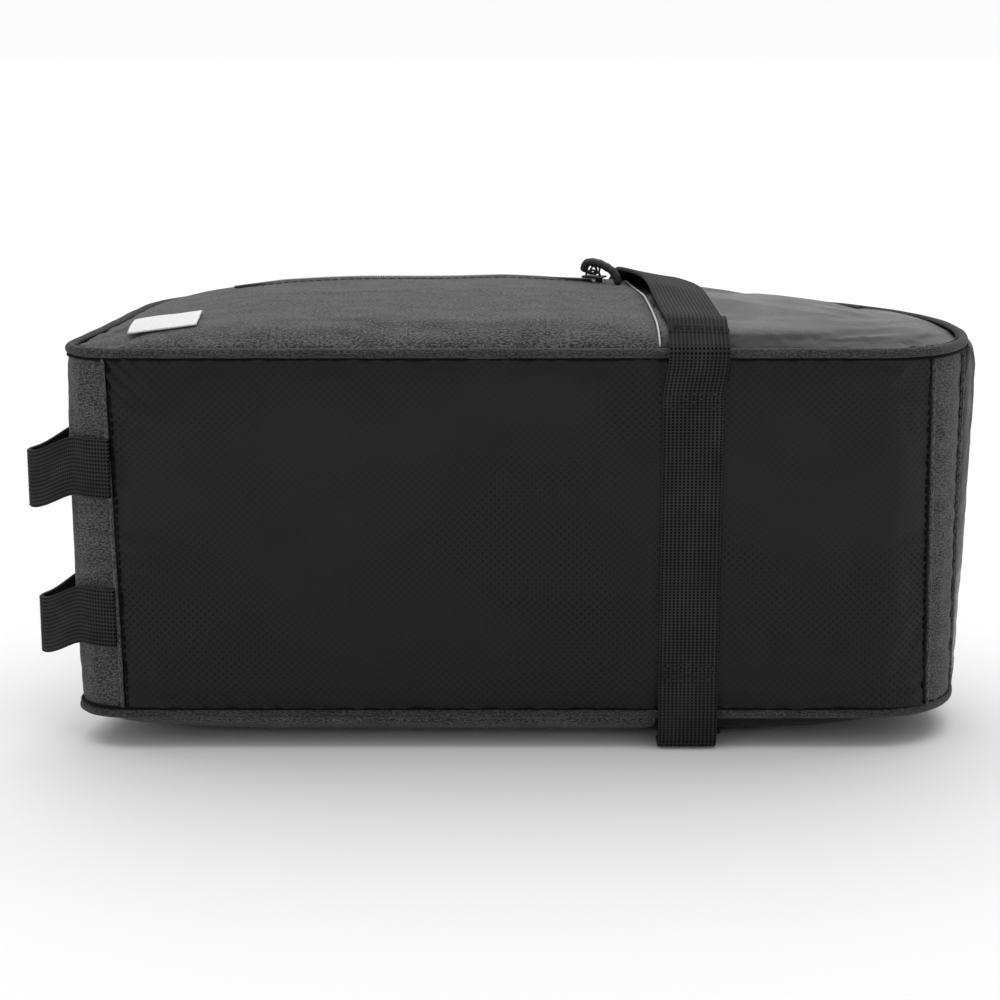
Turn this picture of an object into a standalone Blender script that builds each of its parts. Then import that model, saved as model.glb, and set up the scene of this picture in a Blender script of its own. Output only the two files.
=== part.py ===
# Bicycle trunk bag, lying on its right side
# X runs from the front end to the rear end, Y from the base to the top of the bag
# Z runs from the right side, which it lies on, up to the left side
# While it is being made, the bag's front is at X = 0, its base seam at Y = 0 and its middle plane at Z = 0
import math

import bmesh
import bpy
import numpy as np
from mathutils import Vector
from mathutils.geometry import convex_hull_2d

# Body sizes in metres
body_length = 0.3792
body_height = 0.163
body_width = 0.157
wall = 0.0028
clearance = 0.0003
laid_clearance = 0.0006
bend_clearance = 0.0010
piping_radius = 0.00225
side_roll = 0.030
side_bulge = 0.0142
side_crown = 0.06
rest_depth = 0.0155

# Padding that stands proud of the seams
base_padding = 0.0022
front_padding = 0.0009
top_padding = 0.0030
rear_strip_padding = 0.0010
rear_padding = 0.0058
rear_padding_low_share = 0.45
padding_edge = 0.012
base_seam_skew = 0.0016
base_seam_skew_reach = 0.030

# Seam between the front and the rear part of each side: upright near the base, slanted above its bend
seam_at_base = 0.2474
seam_lean = 0.098
seam_bend_height = 0.050
seam_bend_reach = 0.030
reflective_radius = 0.0009

# Webbing
webbing_width = 0.0252
webbing_thickness = 0.0019
body_strap_at_base = 0.2649
body_strap_lean = 0.090
body_strap_lift = 0.0056
body_strap_start = 0.0045
base_strap_at = 0.2607
base_strap_end = 0.0190
base_strap_under = 0.0110
base_strap_end_shift = 0.0022
base_strap_stitch = 0.0590
strap_dent_reach = 0.024
base_press_depth = 0.0006
base_press_margin = 0.0010
base_press_edge = 0.0020
strap_lift_place = 0.27
strap_lift_spread = 0.13
floor_bend_radius = 0.006
floor_bend_at = 0.0030
bend_weight = 0.020
outline_bend_weight = 0.040

# Webbing loops on the front
upper_loop_reach = 0.0211
lower_loop_reach = 0.0186
loop_far_seam = 0.0440
loop_far_flat = 0.0080
upper_loop_at = 0.0297
lower_loop_at = -0.0355
loop_droop = 0.0070
loop_droop_start = 0.004
loop_sag = 0.0010
loop_rise = 0.0015
loop_bend_radius = 0.0042

# Light holder on the rear
light_strip_width = 0.020
light_strip_thickness = 0.0017
light_strip_bow = 0.0025
light_strip_top = 0.0640
light_strip_bottom = -0.0500
light_strip_height = 0.071

# Zip on the left side, from a place on the outline in rows of outline_rows to a little past the seam
zip_first_row = 8.0
zip_past_seam = 0.0025
zip_inset = 0.0300
zip_end_drop = 0.0150
zip_tape_width = 0.014
zip_tape_thickness = 0.0006
slider_length = 0.0100
slider_width = 0.0080
slider_height = 0.0024
slider_before_end = 0.0080
pull_wire_radius = 0.0005
pull_loop_radius = 0.0015
grip_radius = 0.0019
grip_length = 0.0230
grip_start_back = 0.0030
grip_over_slider = 0.0012
grip_arch = 0.0016
grip_tip_share = 0.6
slider_tail_share = 0.68
slider_round_share = 0.28

# Label on the left side
label_length = 0.0290
label_width = 0.0240
label_skew = 0.0060
label_thickness = 0.0009
label_from_front = 0.0379
label_from_base = 0.0324
label_turn = 14.0

# The side outline, clockwise from the base, as shares of the body's length and height
outline_rows = [
    # name, length share, height share
    ("base_front", 0.053, 0.0),
    ("toe_low", 0.025, 0.015),
    ("toe_mid", 0.007, 0.049),
    ("toe_high", 0.000, 0.104),
    ("front_low", 0.017, 0.282),
    ("front_mid", 0.030, 0.429),
    ("front_high", 0.042, 0.577),
    ("front_top", 0.058, 0.712),
    ("brow_low", 0.093, 0.822),
    ("brow_high", 0.149, 0.901),
    ("top_front", 0.232, 0.960),
    ("top_mid", 0.344, 0.994),
    ("top_high", 0.470, 1.000),
    ("top_rear", 0.591, 0.974),
    ("slope_high", 0.700, 0.914),
    ("slope_mid", 0.798, 0.822),
    ("slope_low", 0.884, 0.704),
    ("tail_high", 0.937, 0.600),
    ("tail_top", 0.969, 0.510),
    ("tail_mid", 0.989, 0.415),
    ("tail_out", 0.999, 0.300),
    ("tail_low", 0.998, 0.210),
    ("heel_high", 0.988, 0.130),
    ("heel_mid", 0.964, 0.058),
    ("heel_low", 0.930, 0.015),
    ("base_rear", 0.892, 0.0),
]

# How far each side swells along the bag, as shares of side_bulge
bulge_rows = [
    # length share, left share, right share
    (0.00, 0.22, 0.35),
    (0.05, 0.33, 0.72),
    (0.10, 0.44, 0.94),
    (0.21, 0.66, 1.05),
    (0.48, 0.75, 1.07),
    (0.63, 0.70, 1.07),
    (0.75, 0.52, 1.07),
    (0.84, 0.40, 0.90),
    (0.93, 0.27, 0.48),
    (1.00, 0.20, 0.22),
]

# Panels of the band round the bag, between two places on the outline, in rows of outline_rows
band_rows = [
    # name, first row, last row, ends at a slanted seam, lengthways steps, padding, material
    ("front_panel", 0.2, 7.6, ("first",), 16, front_padding, "heather"),
    ("top_panel", 7.6, 17.6, (), 22, top_padding, "heather"),
    ("rear_panel", 17.6, 21.6, (), 10, rear_padding, "smooth_coated"),
    ("rear_strip", 21.6, 23.3, ("last",), 5, rear_strip_padding, "heather"),
    ("base_panel", 23.3, 26.2, ("first", "last"), 12, base_padding, "embossed_coated"),
]

# Rows of the outline where the four edges of a side panel meet
side_corners = (1.6, 8.2, 17.8, 23.4)

material_rows = {
    # name: (colour, roughness, metallic)
    "heather": ((0.10, 0.10, 0.105), 0.85, 0.0),
    "embossed_coated": ((0.012, 0.012, 0.012), 0.5, 0.0),
    "smooth_coated": ((0.03, 0.03, 0.032), 0.42, 0.0),
    "webbing": ((0.02, 0.02, 0.02), 0.6, 0.0),
    "reflective": ((0.6, 0.6, 0.6), 0.4, 0.0),
    "zip_tape": ((0.015, 0.015, 0.015), 0.8, 0.0),
    "zip_metal": ((0.03, 0.03, 0.03), 0.35, 0.8),
    "grip_plastic": ((0.03, 0.03, 0.03), 0.5, 0.0),
    "label": ((0.7, 0.7, 0.7), 0.6, 0.0),
}

left = 1
right = -1
half_width = body_width / 2
panel_inset = piping_radius + 2 * clearance
floor_depth = half_width + rest_depth
webbing_layer = webbing_thickness + clearance


def clear_scene():
    for obj in list(bpy.data.objects):
        bpy.data.objects.remove(obj, do_unlink=True)


def make_materials():
    made = {}
    for name, (colour, roughness, metallic) in material_rows.items():
        material = bpy.data.materials.new(name)
        material.use_nodes = True
        shader = material.node_tree.nodes["Principled BSDF"]
        shader.inputs["Base Color"].default_value = (*colour, 1.0)
        shader.inputs["Roughness"].default_value = roughness
        shader.inputs["Metallic"].default_value = metallic
        material.diffuse_color = (*colour, 1.0)
        made[name] = material
    return made


# The side outline as a closed smooth curve


def outline_point(row):
    """The point of the outline at a row number, which may lie between two rows."""
    count = len(outline_rows)
    first = math.floor(row)
    share = row - first
    near = [np.array(outline_rows[(first + step) % count][1:]) for step in (-1, 0, 1, 2)]
    if near[1][1] == 0.0 and near[2][1] == 0.0:
        point = near[1] + (near[2] - near[1]) * share
    else:
        slope_in = (near[2] - near[0]) / 2
        slope_out = (near[3] - near[1]) / 2
        if near[1][1] == 0.0:
            slope_in = np.array([near[2][0] - near[1][0], 0.0])
        if near[2][1] == 0.0:
            slope_out = np.array([near[2][0] - near[1][0], 0.0])
        square = share * share
        cube = square * share
        point = (2 * cube - 3 * square + 1) * near[1] + (cube - 2 * square + share) * slope_in
        point = point + (3 * square - 2 * cube) * near[2] + (cube - square) * slope_out
    return np.array([point[0] * body_length, point[1] * body_height])


outline_steps = 12
outline_count = len(outline_rows) * outline_steps
outline_table = np.array([outline_point(step / outline_steps) for step in range(outline_count)])


def outline_normal(row):
    """The direction in the side plane that points out of the bag."""
    step = 0.02
    along = outline_point(row + step) - outline_point(row - step)
    along = along / np.linalg.norm(along)
    return np.array([-along[1], along[0]])


def even_rows(first, last, steps, bias=0.0):
    """Row numbers spaced along the outline, closer where it bends and, with a bias, at both ends."""
    fine = np.linspace(first, last, steps * 16 + 1)
    runs = np.diff(np.array([outline_point(row) for row in fine]), axis=0)
    headings = np.unwrap(np.arctan2(runs[:, 1], runs[:, 0]))
    turns = np.concatenate([[0], np.abs(np.diff(headings)), [0]])
    weights = np.linalg.norm(runs, axis=1) + outline_bend_weight * (turns[:-1] + turns[1:]) / 2
    lengths = np.concatenate([[0], np.cumsum(weights)])
    shares = np.linspace(0, 1, steps + 1)
    shares = shares + bias * (0.5 - 0.5 * np.cos(math.pi * shares) - shares)
    return np.interp(shares * lengths[-1], lengths, fine)


def edge_distance(x, y):
    """Distance from a point inside the outline to the outline."""
    starts = outline_table
    ends = np.roll(outline_table, -1, axis=0)
    runs = ends - starts
    point = np.array([x, y])
    share = np.clip(((point - starts) * runs).sum(axis=1) / (runs * runs).sum(axis=1), 0, 1)
    nearest = starts + runs * share[:, None]
    return float(np.linalg.norm(nearest - point, axis=1).min())


def smooth_step(value):
    value = min(max(value, 0.0), 1.0)
    return value * value * (3 - 2 * value)


# The side surfaces


def strap_dent(x, y):
    """How deep the straps press into the right side, from the floor up."""
    body_centre = body_strap_at_base - body_strap_lean * y
    away = abs(x - body_centre) - webbing_width / 2
    near = 1 - smooth_step((away - strap_dent_reach / 3) / strap_dent_reach)
    return near * (webbing_thickness + 2 * laid_clearance)


def side_level(x, y, side):
    """Distance of a side's outer surface from the middle plane."""
    shares = [row[0] for row in bulge_rows]
    swells = [row[1] if side == left else row[2] for row in bulge_rows]
    swell = side_bulge * float(np.interp(x / body_length, shares, swells))
    inside = edge_distance(x, y) - panel_inset
    roll = min(max(inside / side_roll, 0.0), 1.0)
    rise = swell * math.sqrt(1 - (1 - roll) ** 2) + side_crown * max(inside - side_roll, 0.0)
    if side == right:
        rise = min(rise, rest_depth - strap_dent(x, y))
    return half_width + rise


def seam_x(y):
    """Where the seam between a side's two parts lies at a height."""
    above = y - seam_bend_height
    return seam_at_base - seam_lean * (math.hypot(above, seam_bend_reach) + above) / 2


# Makers of sheets and tubes


def finish_object(name, mesh, material, collection, root):
    obj = bpy.data.objects.new(name, mesh)
    collection.objects.link(obj)
    obj.parent = root
    obj.data.materials.append(material)
    return obj


def make_sheet(points, away_from):
    """A bmesh grid through rows of points, facing away from the point given."""
    rows = len(points)
    columns = len(points[0])
    sheet = bmesh.new()
    bmesh.ops.create_grid(sheet, x_segments=columns - 1, y_segments=rows - 1, size=0.5)
    for vertex in sheet.verts:
        column = round((vertex.co.x + 0.5) * (columns - 1))
        row = round((vertex.co.y + 0.5) * (rows - 1))
        vertex.co = Vector(points[row][column])
    sheet.normal_update()
    facing = 0.0
    for face in sheet.faces:
        facing += face.normal.dot(face.calc_center_median() - Vector(away_from)) * face.calc_area()
    if facing < 0:
        bmesh.ops.reverse_faces(sheet, faces=sheet.faces[:])
    return sheet


def sheet_to_object(sheet, name, thickness, outward, material, collection, root):
    """Gives a sheet its thickness, inwards for a panel and outwards for a strap or a patch laid on one."""
    bmesh.ops.remove_doubles(sheet, verts=sheet.verts[:], dist=0.00001)
    mesh = bpy.data.meshes.new(name)
    sheet.to_mesh(mesh)
    sheet.free()
    obj = finish_object(name, mesh, material, collection, root)
    mesh.shade_smooth()
    solidify = obj.modifiers.new("thickness", "SOLIDIFY")
    solidify.thickness = thickness
    solidify.offset = 1.0 if outward else -1.0
    solidify.use_even_offset = False
    return obj


def make_tube(name, points, radius, sides, cyclic, material, collection, root):
    curve = bpy.data.curves.new(name, "CURVE")
    curve.dimensions = "3D"
    spline = curve.splines.new("POLY")
    spline.points.add(len(points) - 1)
    for place, point in zip(spline.points, points):
        place.co = (*point, 1.0)
    spline.use_cyclic_u = cyclic
    curve.bevel_depth = radius
    curve.bevel_resolution = sides
    curve.use_fill_caps = not cyclic
    return finish_object(name, curve, material, collection, root)


# The band of panels round the bag


def padding_share(across, along, length):
    """How much of the padding stands at a point, from 0 at the seams to 1 on the flat middle."""
    reach = padding_edge
    edge = min(half_width - abs(across), along, length - along)
    roll = min(max(edge / reach, 0.0), 1.0)
    return math.sqrt(1 - (1 - roll) ** 2)


def seam_shift(share, distance):
    """How far the slanted seam between base and front moves a point lengthways."""
    return -base_seam_skew * share * max(1 - distance / base_seam_skew_reach, 0.0)


def press_lines(places, lengths):
    """Lengths along the base panel where the base strap's press begins and ends."""
    flat = np.array([outline_point(row)[0] for row in places])
    reach = webbing_width / 2 + base_press_margin
    at = [base_strap_at + side * (reach + edge) for side in (-1, 1) for edge in (0.0, base_press_edge)]
    return [float(np.interp(-x, -flat, lengths)) for x in at]


def strap_press(x):
    """How deep the base strap presses into the base panel at a length of the bag."""
    away = abs(x - base_strap_at) - webbing_width / 2 - base_press_margin
    return base_press_depth * min(max(1 - away / base_press_edge, 0.0), 1.0)


def band_panel(name, first, last, seam_ends, steps, padding, low_share):
    """Rows of points of one panel's outer surface."""
    edge = half_width - panel_inset
    shares = [-1.0, -0.97, -0.92, -0.84, -0.5, 0.5, 0.84, 0.92, 0.97, 1.0]
    places = even_rows(first, last, steps, bias=0.6)
    fine = np.array([outline_point(row) for row in places])
    lengths = np.concatenate([[0], np.cumsum(np.linalg.norm(np.diff(fine, axis=0), axis=1))])
    whole = lengths[-1]
    stations = list(lengths)
    if name == "base_panel":
        stations = sorted(stations + press_lines(places, lengths))
    points = []
    for share in shares:
        across = share * edge
        line = []
        for length in stations:
            place = clearance / 2 + (1 - clearance / whole) * length
            row = np.interp(place, lengths, places)
            stand = padding * padding_share(across, place, whole)
            stand *= low_share + (1 - low_share) * (1 + share) / 2
            if name == "base_panel":
                stand -= strap_press(outline_point(row)[0])
            point = outline_point(row) + outline_normal(row) * stand
            if "first" in seam_ends:
                point[0] += seam_shift(share, place)
            if "last" in seam_ends:
                point[0] += seam_shift(share, whole - place)
            line.append((point[0], point[1], across))
        points.append(line)
    return points


def make_band(materials, collection, root):
    middle = (body_length / 2, body_height / 2, 0.0)
    for name, first, last, seam_ends, steps, padding, finish in band_rows:
        low_share = rear_padding_low_share if name == "rear_panel" else 1.0
        points = band_panel(name, first, last, seam_ends, steps, padding, low_share)
        sheet = make_sheet(points, middle)
        sheet_to_object(sheet, name, wall, False, materials[finish], collection, root)


# The side panels


def inset_point(row):
    return outline_point(row) - outline_normal(row) * panel_inset


def side_patch(columns, rows):
    """Points of the side plane inside the outline, as rows and columns between its four edges."""
    count = len(outline_rows)
    low_front, high_front, high_rear, low_rear = side_corners
    along_base = even_rows(low_front + count, low_rear, columns, bias=0.5)
    along_top = even_rows(high_front, high_rear, columns, bias=0.5)
    up_front = even_rows(low_front, high_front, rows, bias=0.8)
    up_rear = even_rows(low_rear, high_rear, rows, bias=0.8)
    corners = [inset_point(row) for row in (low_front, low_rear, high_front, high_rear)]
    patch = []
    for line in range(rows + 1):
        part_up = (line / rows) * 0.2 + 0.8 * (0.5 - 0.5 * math.cos(math.pi * line / rows))
        strip = []
        for place in range(columns + 1):
            part = (place / columns) * 0.5 + 0.5 * (0.5 - 0.5 * math.cos(math.pi * place / columns))
            across = (1 - part_up) * inset_point(along_base[place]) + part_up * inset_point(along_top[place])
            upward = (1 - part) * inset_point(up_front[line]) + part * inset_point(up_rear[line])
            twice = (1 - part) * (1 - part_up) * corners[0] + part * (1 - part_up) * corners[1]
            twice = twice + (1 - part) * part_up * corners[2] + part * part_up * corners[3]
            strip.append(across + upward - twice)
        patch.append(strip)
    return patch


def make_side(side, patch, materials, collection, root):
    label = "left" if side == left else "right"
    points = [[(x, y, side * side_level(x, y, side)) for x, y in strip] for strip in patch]
    keep_off = reflective_radius + clearance
    for part, turn, finish in (("front", 1, "heather"), ("rear", -1, "smooth_coated")):
        sheet = make_sheet(points, (body_length / 2, body_height / 2, 0.0))
        for vertex in sheet.verts:
            vertex.co.x -= seam_x(vertex.co.y)
        bmesh.ops.bisect_plane(
            sheet,
            geom=sheet.verts[:] + sheet.edges[:] + sheet.faces[:],
            plane_co=(-turn * keep_off, 0.0, 0.0),
            plane_no=(turn, 0.0, 0.0),
            clear_outer=True,
            dist=0.000001,
        )
        for vertex in sheet.verts:
            vertex.co.x += seam_x(vertex.co.y)
        name = f"{label}_side_{part}"
        sheet_to_object(sheet, name, wall, False, materials[finish], collection, root)


def make_edge_piping(side, materials, collection, root):
    label = "left" if side == left else "right"
    rows = even_rows(0, len(outline_rows), 72)[:-1]
    points = []
    for row in rows:
        x, y = outline_point(row)
        points.append((x, y, side * half_width))
    make_tube(f"{label}_edge_piping", points, piping_radius, 2, True, materials["heather"], collection, root)


def make_reflective_piping(side, materials, collection, root):
    """The thin piping in the slanted seam, from edge to edge of the side."""
    label = "left" if side == left else "right"
    sunk = reflective_radius * (0.3 if side == left else 1.3)
    heights = np.linspace(0, body_height, 120)
    inside = [y for y in heights if y > panel_inset * 2 and y < body_height * 0.98]
    within = [y for y in inside if y < top_height(seam_x(y))]
    line = [y for y in within if edge_distance(seam_x(y), y) > panel_inset * 1.6]
    stations = np.linspace(0, 1, 22)
    stations = stations * 0.3 + 0.7 * (0.5 - 0.5 * np.cos(math.pi * stations))
    points = []
    for share in stations:
        y = line[0] + (line[-1] - line[0]) * share
        x = seam_x(y)
        points.append((x, y, side * (side_level(x, y, side) - sunk)))
    name = f"{label}_reflective_piping"
    make_tube(name, points, reflective_radius, 1, False, materials["reflective"], collection, root)


# Straps that are drawn tight over the panels


def top_height(x):
    """Height of the outline's upper line at a length."""
    upper = outline_table[outline_table[:, 1] > body_height * 0.35]
    order = np.argsort(upper[:, 0])
    return float(np.interp(x, upper[order, 0], upper[order, 1]))


def tight_route(points, steps):
    """The tight line over points of a section, with closer steps where it bends."""
    flat = [Vector(point) for point in points]
    hull = convex_hull_2d(flat)
    first = hull.index(0)
    hull = hull[first:] + hull[:first]
    last = hull.index(len(points) - 1)
    chain = hull[: last + 1]
    other = [hull[0]] + hull[:last - 1:-1] if last else [hull[0]]
    if len(other) > len(chain):
        chain = other
    line = np.array([points[index] for index in chain])
    runs = np.diff(line, axis=0)
    headings = np.unwrap(np.arctan2(runs[:, 1], runs[:, 0]))
    turns = np.concatenate([[0], np.abs(np.diff(headings)), [0]])
    weights = np.linalg.norm(runs, axis=1) + bend_weight * (turns[:-1] + turns[1:]) / 2
    lengths = np.concatenate([[0], np.cumsum(weights)])
    places = np.linspace(0, lengths[-1], steps + 1)
    return np.stack([np.interp(places, lengths, line[:, axis]) for axis in (0, 1)], axis=1)


def ring_points(centre_y, centre_z, reach, start, end, count=9):
    angles = np.radians(np.linspace(start, end, count))
    return [(centre_y + reach * math.cos(angle), centre_z + reach * math.sin(angle)) for angle in angles]


def outward_steps(route):
    """Unit directions out of a route's section, square to the route."""
    along = np.gradient(route, axis=0)
    along = along / np.linalg.norm(along, axis=1)[:, None]
    return np.stack([-along[:, 1], along[:, 0]], axis=1)


def body_strap_route(offset, steps):
    """The body strap's inner line at one place of its width: left side, top, right side."""
    reach = piping_radius + bend_clearance
    top = top_height(body_strap_at_base + offset - body_strap_lean * body_height)
    points = []
    heights = np.linspace(body_strap_start, top - side_roll * 0.3, 30)
    for y in heights:
        x = body_strap_at_base + offset - body_strap_lean * y
        points.append((y, side_level(x, y, left) + laid_clearance))
    points += ring_points(top, half_width, reach, 90, 0)
    over_top = top + top_padding + laid_clearance
    points += [(over_top, across) for across in np.linspace(0.9, -0.9, 7) * half_width]
    points += ring_points(top, -half_width, reach, 0, -90)
    for y in heights[::-1]:
        x = body_strap_at_base + offset - body_strap_lean * y
        points.append((y, -side_level(x, y, right) - laid_clearance))
    return tight_route(points, steps)


def make_body_strap(materials, collection, root):
    steps = 48
    lines = []
    for share in (-1.0, -0.5, 0.0, 0.5, 1.0):
        offset = share * webbing_width / 2
        route = body_strap_route(offset, steps)
        outward = outward_steps(route)
        if (outward[steps // 2] * np.array([1.0, 0.0])).sum() < 0:
            outward = -outward
        line = []
        for index, (y, z) in enumerate(route):
            humped = math.exp(-((index / steps - strap_lift_place) / strap_lift_spread) ** 2)
            lift = body_strap_lift * humped * ((1 - share) / 2) ** 1.5
            x = body_strap_at_base + offset - body_strap_lean * y
            line.append((x, y + outward[index][0] * lift, z + outward[index][1] * lift))
        lines.append(line)
    sheet = make_sheet(lines, (body_strap_at_base, body_height / 2, 0.0))
    sheet_to_object(sheet, "body_strap", webbing_thickness, True, materials["webbing"], collection, root)


def base_strap_centre(y, z):
    """The base strap leans a little to the rear where its free end lies on the left side."""
    share = (z - base_strap_stitch) / (half_width - base_strap_stitch)
    return base_strap_at + base_strap_end_shift * smooth_step(share)


def base_strap_route(offset, steps):
    """The base strap's inner line: from its free end on the left side, over the base, under the bag."""
    x = base_strap_at + offset
    reach = piping_radius + bend_clearance
    over = webbing_layer + laid_clearance
    base_face = base_press_depth - base_padding - laid_clearance / 2
    heights = np.linspace(base_strap_end, body_strap_start + webbing_thickness, 8)
    left_part = [(y, side_level(x, y, left) + over + laid_clearance) for y in heights]
    left_part += ring_points(0.0, half_width, reach, 90, 180)
    left_part.append((base_face, base_strap_stitch))
    left_line = tight_route(left_part, steps)
    floor_level = -floor_depth + webbing_thickness
    right_part = [(base_face, -base_strap_stitch)]
    right_part += ring_points(0.0, -half_width, reach, 180, 225, 6)
    right_part += ring_points(floor_bend_at, floor_level + floor_bend_radius, floor_bend_radius, 215, 270, 6)
    right_part.append((base_strap_under, floor_level))
    right_line = tight_route(right_part, steps)
    middle = [(base_face, z) for z in np.linspace(base_strap_stitch, -base_strap_stitch, 5)[1:-1]]
    return np.concatenate([left_line, np.array(middle), right_line])


def make_base_strap(materials, collection, root):
    lines = []
    for share in (-1.0, 0.0, 1.0):
        offset = share * webbing_width / 2
        line = []
        for y, z in base_strap_route(offset, 16):
            line.append((base_strap_centre(y, z) + offset, y, z))
        lines.append(line)
    sheet = make_sheet(lines, (base_strap_at, body_height / 2, 0.0))
    sheet_to_object(sheet, "base_strap", webbing_thickness, True, materials["webbing"], collection, root)


# Loops of webbing on the front


def front_row_at(height):
    """The outline row on the front at a height above the base."""
    rows = np.linspace(-0.3, 7.0, 400)
    heights = np.array([outline_point(row)[1] for row in rows])
    return float(np.interp(height, heights, rows))


def loop_centre_line(loop_reach):
    """The loop in the side plane: along the toe, out to its bend, back to the front and up it."""
    stand = front_padding + laid_clearance
    sewn = [outline_point(row) + outline_normal(row) * stand for row in np.linspace(0.5, 1.8, 6)]
    leave = sewn[-1]
    far = front_row_at(loop_far_seam)
    meet = outline_point(far) + outline_normal(far) * stand
    last_row = front_row_at(loop_far_seam + loop_far_flat)
    last = outline_point(last_row) + outline_normal(last_row) * stand
    bend = np.array([-loop_reach, (leave[1] + meet[1]) / 2])
    angles = np.radians(np.linspace(250, 110, 7))
    radius = loop_bend_radius
    arc = [bend + radius * np.array([1 + math.cos(angle), math.sin(angle)]) for angle in angles]
    under = (leave + arc[0]) / 2 - np.array([0.0, loop_sag])
    over = (meet + arc[-1]) / 2 + np.array([0.0, loop_rise])
    controls = sewn + [under] + arc + [over, meet, last]
    return np.array(controls)


def make_loop(name, middle, loop_reach, materials, collection, root):
    line = loop_centre_line(loop_reach)
    outermost = -loop_reach
    lines = []
    for share in (-1.0, 0.0, 1.0):
        across = share * webbing_width / 2
        row = []
        for x, y in line:
            out = smooth_step((loop_droop_start - x) / (loop_droop_start - outermost))
            row.append((x, y, middle + across - loop_droop * out))
        lines.append(row)
    sheet = make_sheet(lines, (*line.mean(axis=0), middle))
    sheet_to_object(sheet, name, webbing_thickness, True, materials["webbing"], collection, root)


# Light holder on the rear panel


def make_light_strip(materials, collection, root):
    rows = np.linspace(17.6, 21.6, 200)
    heights = np.array([outline_point(row)[1] for row in rows])
    low = light_strip_height - light_strip_width / 2
    high = light_strip_height + light_strip_width / 2
    span = light_strip_top - light_strip_bottom
    middle = (light_strip_top + light_strip_bottom) / 2
    lines = []
    for height in np.linspace(low, high, 5):
        row = float(np.interp(-height, -heights, rows))
        line = []
        for share in np.linspace(-1, 1, 9):
            across = middle + share * span / 2
            bow = light_strip_bow * (1 - share * share)
            stand = rear_padding + laid_clearance + bow
            x, y = outline_point(row) + outline_normal(row) * stand
            line.append((x, y, across))
        lines.append(line)
    sheet = make_sheet(lines, (body_length / 2, light_strip_height, 0.0))
    finish = materials["smooth_coated"]
    sheet_to_object(sheet, "light_strip", light_strip_thickness, True, finish, collection, root)


# Zip, its slider and its puller


def zip_last_row():
    """The place on the outline where the zip ends."""
    rows = np.linspace(zip_first_row, side_corners[2], 400)
    lengths = np.array([outline_point(row)[0] for row in rows])
    return float(np.interp(seam_x(body_height) + zip_past_seam, lengths, rows))


zip_end_row = zip_last_row()


def zip_point(row, beside=0.0):
    """A point on or beside the zip's line in the side plane; the line drops to the base at its rear end."""
    share = (row - zip_first_row) / (zip_end_row - zip_first_row)
    inward = zip_inset + zip_end_drop * smooth_step((share - 0.75) / 0.35) + beside
    return outline_point(row) - outline_normal(row) * inward


def make_zip_tape(materials, collection, root):
    lines = []
    for share in (-1.0, -0.34, 0.34, 1.0):
        line = []
        for row in even_rows(zip_first_row, zip_end_row, 28):
            x, y = zip_point(row, share * zip_tape_width / 2)
            line.append((x, y, side_level(x, y, left) + laid_clearance))
        lines.append(line)
    sheet = make_sheet(lines, (body_length / 2, body_height / 2, 0.0))
    sheet_to_object(sheet, "zip_tape", zip_tape_thickness, True, materials["zip_tape"], collection, root)


def slider_place():
    """Where the slider sits on the zip, and the direction of the zip there."""
    rows = even_rows(zip_first_row, zip_end_row, 60)
    points = np.array([zip_point(row) for row in rows])
    lengths = np.concatenate([[0], np.cumsum(np.linalg.norm(np.diff(points, axis=0), axis=1))])
    row = float(np.interp(lengths[-1] - slider_before_end, lengths, rows))
    centre = zip_point(row)
    along = zip_point(row + 0.02) - zip_point(row - 0.02)
    along = along / np.linalg.norm(along)
    level = side_level(centre[0], centre[1], left) + laid_clearance + zip_tape_thickness + clearance
    return Vector((centre[0], centre[1], level)), Vector((along[0], along[1], 0.0))


def make_slider(materials, collection, root):
    place, along = slider_place()
    body = bmesh.new()
    bmesh.ops.create_cube(body, size=1.0)
    bmesh.ops.scale(body, vec=(slider_length, slider_width, slider_height), verts=body.verts[:])
    for vertex in body.verts:
        if vertex.co.x < 0:
            vertex.co.y *= slider_tail_share
    bmesh.ops.bevel(
        body,
        geom=body.edges[:],
        offset=slider_height * slider_round_share,
        offset_type="OFFSET",
        segments=2,
        profile=0.5,
        affect="EDGES",
        material=-1,
    )
    mesh = bpy.data.meshes.new("zip_slider")
    body.to_mesh(mesh)
    body.free()
    slider = finish_object("zip_slider", mesh, materials["zip_metal"], collection, root)
    slider.location = place + Vector((0.0, 0.0, slider_height / 2))
    slider.rotation_euler = (0.0, 0.0, math.atan2(along.y, along.x))


def pull_frame():
    """The slider's top, and the directions along and across the zip."""
    place, along = slider_place()
    across = Vector((-along.y, along.x, 0.0))
    return place + Vector((0.0, 0.0, slider_height)), along, across


def make_pull_loop(materials, collection, root):
    """The wire ring that joins the puller to the slider."""
    top, along, across = pull_frame()
    radius = pull_loop_radius
    lean = radius / 2
    points = []
    count = 16
    for step in range(count):
        angle = 2 * math.pi * step / count
        out = radius * math.cos(angle)
        up = radius * math.sin(angle)
        shift = Vector((0.0, 0.0, radius + up + pull_wire_radius + clearance))
        points.append(tuple(top + along * (out + lean) + shift))
    make_tube("zip_pull_loop", points, pull_wire_radius, 1, True, materials["zip_metal"], collection, root)


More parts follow.
